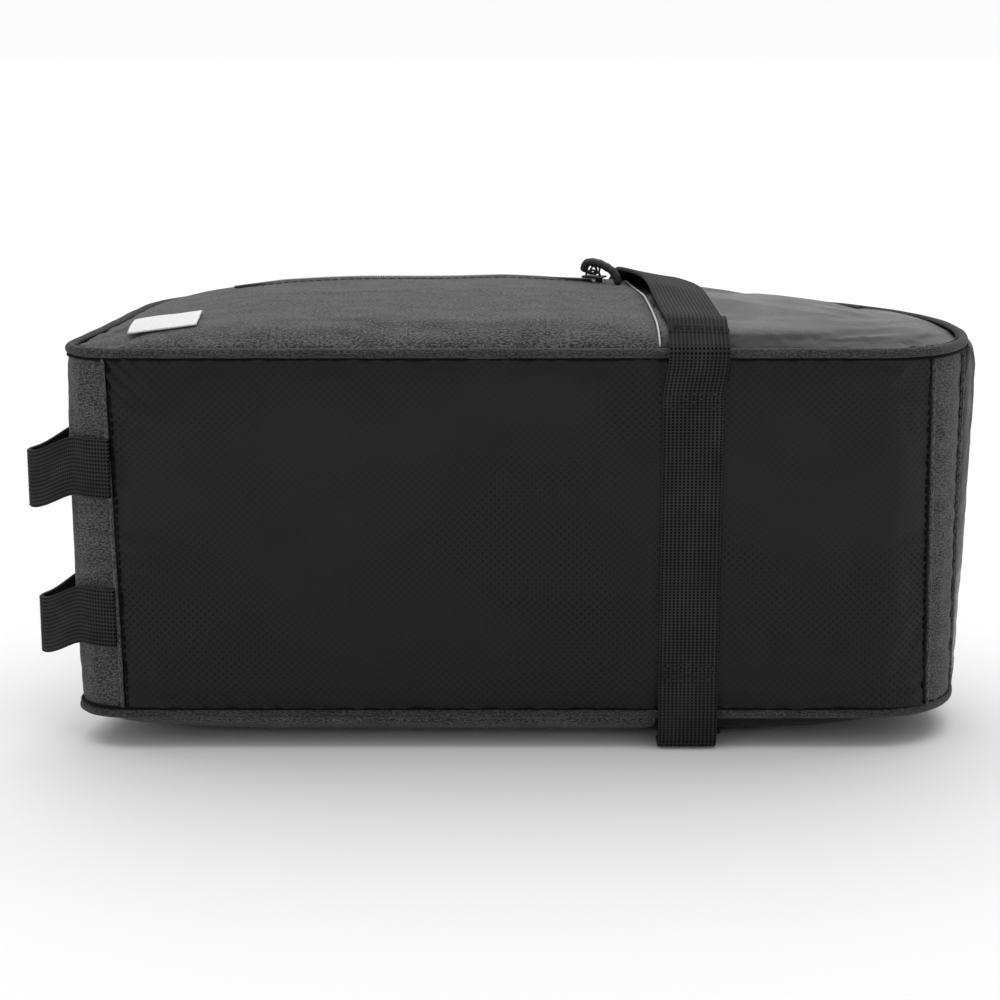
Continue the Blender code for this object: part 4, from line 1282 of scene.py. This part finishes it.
stitchPoints, stitchFaces = stitchTemplate()


def stitchRun(line, ups, length, gap, radius, sink=0.3):
    # centres, directions and uprights of the stitches along a line
    line = np.asarray(line, dtype=float)
    ups = np.asarray(ups, dtype=float)
    lengths = np.concatenate([[0], np.cumsum(np.linalg.norm(np.diff(line, axis=0), axis=1))])
    count = max(1, int(lengths[-1] / (length + gap)))
    places = (np.arange(count) + 0.5) * lengths[-1] / count
    def at(values, spots):
        return np.stack([np.interp(spots, lengths, values[:, axis]) for axis in range(3)], axis=1)
    start = at(line, places - length / 2)
    end = at(line, places + length / 2)
    up = at(ups, places)
    ahead = (end - start) / 2
    long = np.linalg.norm(ahead, axis=1)[:, None]
    up = up - ahead * (up * ahead).sum(axis=1)[:, None] / long ** 2
    up /= np.linalg.norm(up, axis=1)[:, None]
    side = np.cross(ahead / long, up)
    middle = (start + end) / 2 + up * radius * (1 - sink)
    spots = middle[:, None, :] + ahead[:, None, :] * stitchPoints[None, :, :1]
    spots = spots + side[:, None, :] * radius * stitchPoints[None, :, 1:2]
    return spots + up[:, None, :] * radius * stitchPoints[None, :, 2:3]


def addStitches(name, runs, material):
    spots = np.concatenate(runs) + bagPlace
    size = len(stitchPoints)
    faces = [[index + number * size for index in face] for number in range(len(spots)) for face in stitchFaces]
    mesh = bpy.data.meshes.new(name)
    mesh.from_pydata(spots.reshape(-1, 3).tolist(), [], faces)
    mesh.materials.append(material)
    mesh.shade_smooth()
    piece = bpy.data.objects.new(name, mesh)
    bpy.context.scene.collection.objects.link(piece)
    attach(piece, "root")
    return piece


# Folded heather edges and dashed stitches where the band's panels meet
seamFold = {
    "width": 0.0017,
    "rise": 0.0009,
    "stitch": 0.0030,
    "gap": 0.0007,
    "thread": 0.00052,
    "stitchAside": 0.0014,
    "greyAside": 0.0016,
}
bandSeams = [
    # name, row, side of the seam that the fold lies on, padding beside it, slanted, stitched
    ("frontBaseFold", seamRows["frontBase"], 1, 0.0009, True, "dark"),
    ("rearBaseFold", seamRows["rearBase"], -1, 0.0010, True, "dark"),
    ("rearStripFold", seamRows["rearStrip"], 1, 0.0010, False, "grey"),
    ("topRearFold", seamRows["topRear"], -1, 0.0025, False, "grey"),
    ("topFrontFold", seamRows["topFront"], 1, 0.0025, False, "grey"),
]


def seamLine(row, aside, stand, slanted, steps=160):
    # a line across the band beside a seam, aside along the outline
    rows, lengths = lengthTable(row - 0.7, row + 0.7)
    at = np.interp(row, rows, lengths) + aside
    across = np.linspace(-bandEdge, bandEdge, steps)
    used = np.full(steps, np.interp(at, lengths, rows))
    shift = -bag["seamSkew"] * across / bandEdge if slanted else np.zeros(steps)
    up = outwards(used)
    return bandPoint(used, np.full(steps, stand), shift, across), np.column_stack([up, np.zeros(steps)])


def makeBandSeams():
    dark = []
    grey = []
    for name, row, direction, padding, slanted, thread in bandSeams:
        line, up = seamLine(row, direction * seamFold["width"] / 2, seamFold["rise"], slanted)
        wobble = softNoise(line[:, 2], np.zeros(len(line)), 0.010, row) * 0.00018
        ends = np.minimum(1.0, (bandEdge - np.abs(line[:, 2])) / 0.004 + 0.5)
        radii = (seamFold["width"] / 2 + wobble) * ends
        sheet = makeTube(line + up * 0.0002, seamFold["width"] / 2, 12, squash=0.95, radii=radii, outs=up)
        addPiece(name, sheet, heather)
        aside = direction * (seamFold["width"] + seamFold["greyAside"])
        if thread == "dark":
            aside = -direction * seamFold["stitchAside"]
        line, up = seamLine(row, aside, 0.0006 if thread == "dark" else padding * 0.6, slanted)
        run = stitchRun(line, up, seamFold["stitch"], seamFold["gap"], seamFold["thread"])
        (dark if thread == "dark" else grey).append(run)
    addStitches("baseSeamStitches", dark, darkThreadAndCreaseShade)
    addStitches("panelSeamStitches", grey, greyThread)
    print("band seams made")


# Stitches on the straps: boxes with a cross on the base, two rows at the hem
strapStitch = {"length": 0.0022, "gap": 0.0006, "radius": 0.00028, "edge": 0.0024, "box": 0.0100}


def onStrap(inner, out, lengths, along, across, thickness=webbing["thickness"], rise=0.0):
    lines = inner.shape[0]
    spot = (across / (webbing["width"] / 2) + 1) / 2 * (lines - 1)
    low = np.clip(spot.astype(int), 0, lines - 2)
    share = (spot - low)[:, None]
    def take(table):
        def onLines(which):
            found = []
            for place, line in zip(along, which):
                found.append([np.interp(place, lengths, table[line, :, axis]) for axis in range(3)])
            return np.array(found)
        return onLines(low) * (1 - share) + onLines(low + 1) * share
    up = take(out)
    up /= np.linalg.norm(up, axis=1)[:, None]
    return take(inner) + up * (thickness + rise), up


def strapStitches(inner, out, lengths):
    runs = []
    half = webbing["width"] / 2 - strapStitch["edge"]
    def straight(alongFrom, acrossFrom, alongTo, acrossTo, rise=0.0):
        shares = np.linspace(0, 1, 24)
        line, up = onStrap(inner, out, lengths, alongFrom + (alongTo - alongFrom) * shares,
                           acrossFrom + (acrossTo - acrossFrom) * shares, rise=rise)
        runs.append(stitchRun(line, up, strapStitch["length"], strapStitch["gap"], strapStitch["radius"]))
    middle = inner[2]
    for height in (baseStrap["stitchAt"], -baseStrap["stitchAt"]):
        at = float(np.interp(-height, -middle[30:-30, 2], lengths[30:-30]))
        for low, high in ((at - strapStitch["box"] * 0.35, at + strapStitch["box"] * 0.35),):
            straight(low, -half, low, half)
            straight(high, -half, high, half)
            straight(low, -half, high, -half)
            straight(low, half, high, half)
            straight(low, -half, high, half)
            straight(low, half, high, -half)
    for place in (baseStrap["hem"] - 0.0030, baseStrap["hem"] - 0.0015):
        straight(place, -half - 0.001, place, half + 0.001, rise=baseStrap["hemRise"])
    addStitches("strapStitches", runs, webbingThread)


# Light holder: a flat strip on the rear panel, sewn down at its ends
lightHolder = {
    "width": 0.020,
    "thickness": 0.0017,
    "top": 0.0640,
    "bottom": -0.0500,
    "height": 0.071,
    "bow": 0.0025,
    "step": 0.0080,
    "sewnAt": (0.003, 0.006),
    "rearPadding": 0.0058,
}


def holderPoint(across, height, rise):
    rows = np.linspace(seamRows["topRear"], seamRows["rearStrip"], 400)
    heights = onOutline(rows)[:, 1]
    row = np.interp(-height, -heights, rows)
    middle = (lightHolder["top"] + lightHolder["bottom"]) / 2
    half = (lightHolder["top"] - lightHolder["bottom"]) / 2
    share = (across - middle) / half
    stand = lightHolder["rearPadding"] + bag["laid"] + lightHolder["bow"] * (1 - share ** 2) + rise
    flat = onOutline(row) + outwards(row) * stand[:, None]
    return np.column_stack([flat, across]), np.column_stack([outwards(row), np.zeros(len(across))])


def makeLightHolder():
    steps = 120
    across = np.linspace(lightHolder["bottom"], lightHolder["top"], steps)
    inner = []
    out = []
    for share in np.linspace(-1, 1, 5):
        height = np.full(steps, lightHolder["height"] + share * lightHolder["width"] / 2)
        points, up = holderPoint(across, height, np.zeros(steps))
        inner.append(points)
        out.append(up)
    inner = np.array(inner)
    out = np.array(out)
    toEnd = np.minimum(across - lightHolder["bottom"], lightHolder["top"] - across)
    raised = smoothStep((toEnd - lightHolder["step"]) / 0.0012)
    thickness = lightHolder["thickness"] * (0.45 + 0.55 * raised)
    def place(u, v):
        step = np.rint(u * (steps - 1)).astype(int)
        angle = 2 * math.pi * v
        wide = np.sign(np.cos(angle)) * np.abs(np.cos(angle)) ** 0.22
        tall = (np.sign(np.sin(angle)) * np.abs(np.sin(angle)) ** 0.5 + 1) / 2
        spot = (wide + 1) / 2 * 4
        low = np.clip(spot.astype(int), 0, 3)
        share = (spot - low)[:, None]
        base = inner[low, step] * (1 - share) + inner[low + 1, step] * share
        flat = np.column_stack([across[step], wide * lightHolder["width"] / 2])
        return base + out[low, step] * (thickness[step] * tall)[:, None], flat
    sheet = makeGrid(steps - 1, 40, place)
    bmesh.ops.remove_doubles(sheet, verts=sheet.verts[:], dist=0.00001)
    bmesh.ops.holes_fill(sheet, edges=[edge for edge in sheet.edges if edge.is_boundary], sides=0)
    bmesh.ops.recalc_face_normals(sheet, faces=sheet.faces[:])
    addPiece("lightHolderStrip", sheet, smoothCoated, ("light_strip",))
    runs = []
    half = lightHolder["width"] / 2 - 0.002
    for aside in (-half, half):
        height = np.full(steps, lightHolder["height"] + aside)
        line, up = holderPoint(across, height, thickness)
        runs.append(stitchRun(line[4:-4], up[4:-4], 0.0026, 0.0010, 0.00024))
    ends = [lightHolder["bottom"] + far for far in lightHolder["sewnAt"]]
    ends += [lightHolder["top"] - far for far in lightHolder["sewnAt"]]
    for end in ends:
        height = np.linspace(lightHolder["height"] - half, lightHolder["height"] + half, 20)
        line, up = holderPoint(np.full(20, end), height, np.full(20, lightHolder["thickness"] * 0.5))
        runs.append(stitchRun(line, up, 0.0022, 0.0006, 0.00026))
    addStitches("lightHolderStitches", runs, darkThreadAndCreaseShade)
    print("light holder made")


# Zip: tape, coil, two folded lips with top stitching, slider, ring and puller
zipSizes = {
    "firstRow": 7.6,
    "pastSeam": 0.0025,
    "inset": 0.0300,
    "endDrop": 0.0150,
    "tapeWidth": 0.014,
    "tapeThickness": 0.0006,
    "coilRadius": 0.00095,
    "closeOver": 0.030,
    "endSunk": 0.0005,
    "stitchAside": 0.0052,
    "farLip": 0.6,
    "coilPitch": 0.0013,
    "lipNear": 0.0021,
    "lipFar": 0.0105,
    "lipRise": 0.0012,
    "sliderBeforeEnd": 0.0080,
}


def zipEnd():
    # the row where the outline passes the slanted seam
    rows = np.linspace(zipSizes["firstRow"], 17.0, 400)
    points = onOutline(rows)
    return float(np.interp(zipSizes["pastSeam"], points[:, 0] - seamX(points[:, 1]), rows))


zipLast = zipEnd()


def zipPoint(rows, beside=0.0):
    share = (rows - zipSizes["firstRow"]) / (zipLast - zipSizes["firstRow"])
    inward = zipSizes["inset"] + zipSizes["endDrop"] * smoothStep((share - 0.75) / 0.35) + beside
    return onOutline(rows) - outwards(rows) * np.reshape(inward, (-1, 1))


def zipLevel(flat):
    return sideLevel(flat[:, 0], flat[:, 1], left) + sideRise(flat[:, 0], flat[:, 1], left)


def lipShare(beside):
    return (beside - zipSizes["lipNear"] - zipSizes["lipRise"] / 2) / (zipSizes["lipFar"] - zipSizes["lipNear"])


def zipRows(steps):
    rows = np.linspace(zipSizes["firstRow"], zipLast, 500)
    points = zipPoint(rows)
    lengths = np.concatenate([[0], np.cumsum(np.linalg.norm(np.diff(points, axis=0), axis=1))])
    return np.interp(np.linspace(0, lengths[-1], steps), lengths, rows), lengths[-1]


def zipRibbon(steps, profile):
    # profile: places beside the zip's line and their rise over the side
    rows, whole = zipRows(steps)
    profile = np.array(profile)
    def place(u, v):
        step = np.rint(u * (steps - 1)).astype(int)
        part = np.rint(v * (len(profile) - 1)).astype(int)
        toEnd = np.minimum(step, steps - 1 - step) / (steps - 1) * whole
        full = smoothStep(toEnd / zipSizes["closeOver"])
        flat = zipPoint(rows[step], profile[part, 0] * (0.1 + 0.9 * full))
        level = zipLevel(flat) + profile[part, 1] * full - zipSizes["endSunk"] * (1 - full)
        return np.column_stack([flat, level]), np.stack([step / (steps - 1) * whole, profile[part, 0]], axis=1)
    return makeGrid(steps - 1, len(profile) - 1, place)


def makeZip():
    half = zipSizes["tapeWidth"] / 2
    tape = [(share * half, 0.00055) for share in np.linspace(-1, 1, 9)]
    sheet = turnOut(zipRibbon(150, tape), bagMiddle)
    addPiece("zipTapeCloth", sheet, zipCloth, ("zip_tape",), wall=0.0005)
    stitches = []
    top = zipSizes["tapeThickness"] + zipSizes["lipRise"]
    for direction in (-1, 1):
        profile = []
        lower = zipSizes["farLip"] if direction < 0 else 1.0
        for angle in np.linspace(-130, 90, 9):  # the fold beside the zip
            radius = zipSizes["lipRise"] / 2
            turn = math.radians(angle)
            beside = direction * (zipSizes["lipNear"] + radius - radius * math.cos(turn))
            rise = zipSizes["tapeThickness"] + radius + radius * math.sin(turn)
            profile.append((beside, rise * lower))
        for share in np.linspace(0.15, 1.0, 8):  # the cloth that runs back into the side
            width = zipSizes["lipFar"] - zipSizes["lipNear"]
            beside = zipSizes["lipNear"] + zipSizes["lipRise"] / 2 + width * share
            rise = top * (1 - smoothStep(share)) - zipSizes["endSunk"] * smoothStep((share - 0.6) / 0.4)
            sewn = 0.00035 * math.exp(-((beside - zipSizes["stitchAside"]) / 0.0007) ** 2)
            profile.append((direction * beside, (float(rise) - sewn) * lower))
        sheet = turnOut(zipRibbon(300, profile), bagMiddle)
        addPiece("zipLipUpper" if direction < 0 else "zipLipLower", sheet, heather)
        rows, whole = zipRows(200)
        flat = zipPoint(rows, direction * zipSizes["stitchAside"])
        rise = top * (1 - smoothStep(lipShare(zipSizes["stitchAside"]))) - 0.0002
        line = np.column_stack([flat, zipLevel(flat) + rise * lower])[16:-16]
        stitches.append(stitchRun(line, np.tile([0.0, 0.0, 1.0], (len(line), 1)), 0.0026, 0.0011, 0.00027))
    addStitches("zipStitches", stitches, greyThread)
    coil = []
    turns = int(whole / zipSizes["coilPitch"])
    perTurn = 8
    spots = np.arange(turns * perTurn + 1) / perTurn
    rowsAll, _ = zipRows(len(spots) + 120)
    rowsAll = rowsAll[60:-60]
    for direction in (-1, 1):
        angle = 2 * math.pi * spots
        beside = direction * 0.00085 + zipSizes["coilRadius"] * np.cos(angle) * 0.9
        flat = zipPoint(rowsAll, beside)
        wound = zipSizes["coilRadius"] * (0.75 + 0.75 * np.sin(angle))
        level = zipLevel(flat) + zipSizes["tapeThickness"] + wound
        coil.append(np.column_stack([flat, level]))
    for number, line in enumerate(coil):
        addPiece(f"zipCoil{number + 1}", makeTube(line, 0.0003, 5), zipNylon)
    print("zip made")


def sliderFrame():
    rows, whole = zipRows(600)
    row = np.interp(whole - zipSizes["sliderBeforeEnd"], np.linspace(0, whole, 600), rows)
    centre = zipPoint(np.array([row]))[0]
    ahead = (zipPoint(np.array([row + 0.02])) - zipPoint(np.array([row - 0.02])))[0]
    ahead /= np.linalg.norm(ahead)
    level = sideLevel(centre[0], centre[1], left)[0] + bag["laid"] + zipSizes["tapeThickness"]
    level += bag["clearance"] - slider["sunk"]
    return Vector((*centre, level)), Vector((*ahead, 0.0)), Vector((-ahead[1], ahead[0], 0.0))


slider = {
    "sunk": 0.0012,
    "length": 0.0100,
    "width": 0.0080,
    "height": 0.0036,
    "plate": 0.0009,
    "ring": 0.0022,
    "wire": 0.0005,
    # along the zip and above the slider's top
    "bridge": [(-0.0038, -0.0006), (-0.0032, 0.0012), (-0.0004, 0.0021), (0.0026, 0.0012), (0.0032, -0.0006)],
}
puller = {
    "radius": 0.0019,
    "places": [(-0.0034, 0.0014), (-0.0033, 0.0040), (-0.0014, 0.0060), (0.0030, 0.0060),
               (0.0075, 0.0045), (0.0110, 0.0023), (0.0130, -0.0009), (0.0133, -0.0034)],
    "side": -0.0025,
    # the cord's places along the zip, beside it and above the slider's top
    "cord": [(-0.0040, -0.0022, 0.0030), (-0.0030, -0.0010, 0.0012), (-0.0008, 0.0004, 0.0006),
             (0.0010, 0.0012, 0.0016), (-0.0004, 0.0016, 0.0042), (-0.0026, 0.0004, 0.0058)],
}


def fromSlider(spot, ahead, across, along, beside, up):
    return np.array(spot + ahead * along + across * beside + Vector((0.0, 0.0, up)))


def smoothCurve(controls, steps):
    controls = np.asarray(controls, dtype=float)
    extended = np.vstack([2 * controls[0] - controls[1], controls, 2 * controls[-1] - controls[-2]])
    found = []
    for value in np.linspace(0, len(controls) - 1.000001, steps):
        first = int(value)
        share = value - first
        a, b, c, d = extended[first:first + 4]
        square = (2 * a - 5 * b + 4 * c - d) * share ** 2
        cube = (3 * b - a - 3 * c + d) * share ** 3
        found.append(0.5 * (2 * b + (c - a) * share + square + cube))
    return np.array(found)


def makeSlider():
    spot, ahead, across = sliderFrame()
    body = bmesh.new()
    for level in (0.0, slider["height"] - slider["plate"]):  # two plates, narrow at the tail
        made = bmesh.ops.create_cube(body, size=1.0)["verts"]
        bmesh.ops.scale(body, vec=(slider["length"], slider["width"], slider["plate"]), verts=made)
        for vertex in made:
            if vertex.co.x < 0:
                vertex.co.y *= 0.62
            vertex.co.z += level + slider["plate"] / 2
    post = bmesh.ops.create_cube(body, size=1.0)["verts"]
    bmesh.ops.scale(body, vec=(0.0030, 0.0016, slider["height"] - 0.0004), verts=post)
    bmesh.ops.translate(body, vec=(0.0028, 0.0, slider["height"] / 2), verts=post)
    bmesh.ops.bevel(
        body,
        geom=body.edges[:],
        offset=0.00028,
        offset_type="OFFSET",
        segments=2,
        profile=0.5,
        affect="EDGES",
        material=-1,
    )
    turn = math.atan2(ahead.y, ahead.x)
    bmesh.ops.rotate(body, cent=(0, 0, 0), matrix=Matrix.Rotation(turn, 3, "Z"), verts=body.verts[:])
    bmesh.ops.translate(body, vec=spot + Vector(bagPlace) - Vector((0.0, 0.0, 0.0004)), verts=body.verts[:])
    body.loops.layers.uv.new("cloth")
    addPiece("zipSliderBody", body, zipMetal, ("zip_slider",))
    top = slider["height"]
    bridge = smoothCurve([fromSlider(spot, ahead, across, a, 0.0, top + b) for a, b in slider["bridge"]], 30)
    addPiece("zipBridge", makeTube(bridge, 0.00062, 10, squash=0.7), zipMetal)
    angles = np.linspace(0, 2 * math.pi, 40, endpoint=False)
    ring = [fromSlider(spot, ahead, across, 0.0008 + slider["ring"] * math.cos(angle), 0.0012 * math.sin(angle),
                       slider["height"] + 0.0024 + slider["ring"] * 0.8 * math.sin(angle)) for angle in angles]
    ringTube = makeTube(ring, slider["wire"], 10, closed=True)
    addPiece("zipPullRing", ringTube, zipMetal, ("zip_pull_loop",))
    controls = [fromSlider(spot, ahead, across, a, puller["side"], top + b) for a, b in puller["places"]]
    line = smoothCurve(controls, 70)
    share = np.linspace(0, 1, 70)
    radii = puller["radius"] * np.clip(np.sqrt(np.sin(math.pi * np.clip(share, 0.012, 0.988))) * 2.2, 0.25, 1.0)
    ribbed = smoothStep((share - 0.2) / 0.1) * (1 - smoothStep((share - 0.75) / 0.1))
    radii = radii * (1 + 0.05 * np.sin(share * 2 * math.pi * 9) * ribbed)
    pullerTube = makeTube(line, puller["radius"], 18, radii=radii)
    addPiece("zipPuller", pullerTube, gripRubber, ("zip_pull_grip",))
    cord = smoothCurve([fromSlider(spot, ahead, across, a, b, top + c) for a, b, c in puller["cord"]], 40)
    addPiece("pullerCord", makeTube(cord, 0.0006, 8), webbingThread)
    print("slider made")


# Label: bare woven cloth with a plain hemmed border
labelSizes = {
    "length": 0.0290,
    "width": 0.0265,
    "skew": 0.0060,
    "thickness": 0.0007,
    "lift": 0.0016,
    "fromFront": 0.0379,
    "fromBase": 0.0308,
    "turn": 14.0,
    "border": 0.0012,
}


def labelPoint(out, up, rise):
    turn = math.radians(labelSizes["turn"])
    forward = np.array([math.cos(turn), math.sin(turn)])
    upward = np.array([-math.sin(turn), math.cos(turn)])
    centre = np.array([labelSizes["fromFront"], labelSizes["fromBase"]])
    flat = centre + np.outer(out * labelSizes["length"] + up * labelSizes["skew"], forward)
    flat = flat + np.outer(up * labelSizes["width"], upward)
    level = sideLevel(flat[:, 0], flat[:, 1], left) + sideRise(flat[:, 0], flat[:, 1], left)
    return np.column_stack([flat, level + labelSizes["lift"] + rise])


def makeLabel():
    def place(u, v):
        flat = np.stack([u * labelSizes["length"], v * labelSizes["width"]], axis=1)
        return labelPoint(u - 0.5, v - 0.5, np.zeros(len(u))), flat
    sheet = turnOut(makeGrid(30, 26, place), bagMiddle)
    thickness = labelSizes["thickness"]
    addPiece("labelCloth", sheet, labelCloth, ("label_patch",), wall=thickness, outward=True)
    shares = np.linspace(-0.5, 0.5, 30)
    inset = 0.5 - labelSizes["border"] / labelSizes["length"] * 0.5
    edge = [(share, -inset) for share in shares] + [(inset, share) for share in shares[1:]]
    edge += [(-share, inset) for share in shares[1:]] + [(-inset, -share) for share in shares[1:-1]]
    edge = np.array(edge) * 0.985
    line = labelPoint(edge[:, 0], edge[:, 1], thickness * 0.7)
    ups = np.tile([0.0, 0.0, 1.0], (len(line), 1))
    hem = makeTube(line, labelSizes["border"] / 2, 8, closed=True, squash=0.5, outs=ups)
    addPiece("labelBorder", hem, labelEdge)
    print("label made")


makeBand()
makeSides()
makeEdgePiping()
makeBodyStrap()
strapInner, strapOut, strapLengths = makeBaseStrap()
strapStitches(strapInner, strapOut, strapLengths)
makeLoop("frontLoopUpperWebbing", "front_loop_upper", loops["upperAt"], loops["upperReach"])
makeLoop("frontLoopLowerWebbing", "front_loop_lower", loops["lowerAt"], loops["lowerReach"])
print("straps made")
makeBandSeams()
makeLightHolder()
makeZip()
makeSlider()
makeLabel()

# Studio: pale floor and soft light from above
studio = {
    "floor": (0.86, 0.86, 0.86),
    "worldLight": 0.60,
    "backdrop": 1.0,
    "overhead": (1.75, 75.0, -15.0),  # strength, spread and lean in degrees
    "behind": (24.0, 3.2, (0.0, 3.0, 1.95)),  # power, size, place
}


def makeFloor():
    ground = bmesh.new()
    bmesh.ops.create_grid(ground, x_segments=2, y_segments=2, size=9.0)
    mesh = bpy.data.meshes.new("floor")
    ground.to_mesh(mesh)
    ground.free()
    floor = bpy.data.objects.new("floor", mesh)
    bpy.context.scene.collection.objects.link(floor)
    material, _, shader = startMaterial("paleFloor")
    shader.inputs["Base Color"].default_value = (*studio["floor"], 1)
    shader.inputs["Roughness"].default_value = 0.9
    shader.inputs["Specular IOR Level"].default_value = 0.1
    mesh.materials.append(material)


def makeLight(name, settings):
    power, size, place = settings
    lamp = bpy.data.lights.new(name, "AREA")
    lamp.energy = power
    lamp.size = size
    lamp.shape = "SQUARE"
    holder = bpy.data.objects.new(name, lamp)
    bpy.context.scene.collection.objects.link(holder)
    holder.location = place
    holder.visible_camera = False
    aim = Vector((0.0, 0.0, 0.08)) - Vector(place)
    holder.rotation_euler = aim.to_track_quat("-Z", "Y").to_euler()


def makeSun(name, settings):
    strength, spread, lean = settings
    lamp = bpy.data.lights.new(name, "SUN")
    lamp.energy = strength
    lamp.angle = math.radians(spread)
    holder = bpy.data.objects.new(name, lamp)
    bpy.context.scene.collection.objects.link(holder)
    holder.rotation_euler = (math.radians(lean), 0.0, 0.0)


def makeWorld():
    world = bpy.data.worlds.new("studio")
    bpy.context.scene.world = world
    world.use_nodes = True
    tree = world.node_tree
    background = tree.nodes["Background"]
    seen = tree.nodes.new("ShaderNodeLightPath")
    byCamera = seen.outputs["Is Camera Ray"]
    strength = rangeNode(tree, byCamera, 0.0, 1.0, studio["worldLight"], studio["backdrop"])
    background.inputs["Color"].default_value = (1, 1, 1, 1)
    tree.links.new(strength, background.inputs["Strength"])


makeFloor()
makeSun("overhead", studio["overhead"])
makeLight("behind", studio["behind"])
makeWorld()
bpy.context.scene.view_settings.view_transform = "Standard"
print("studio made")
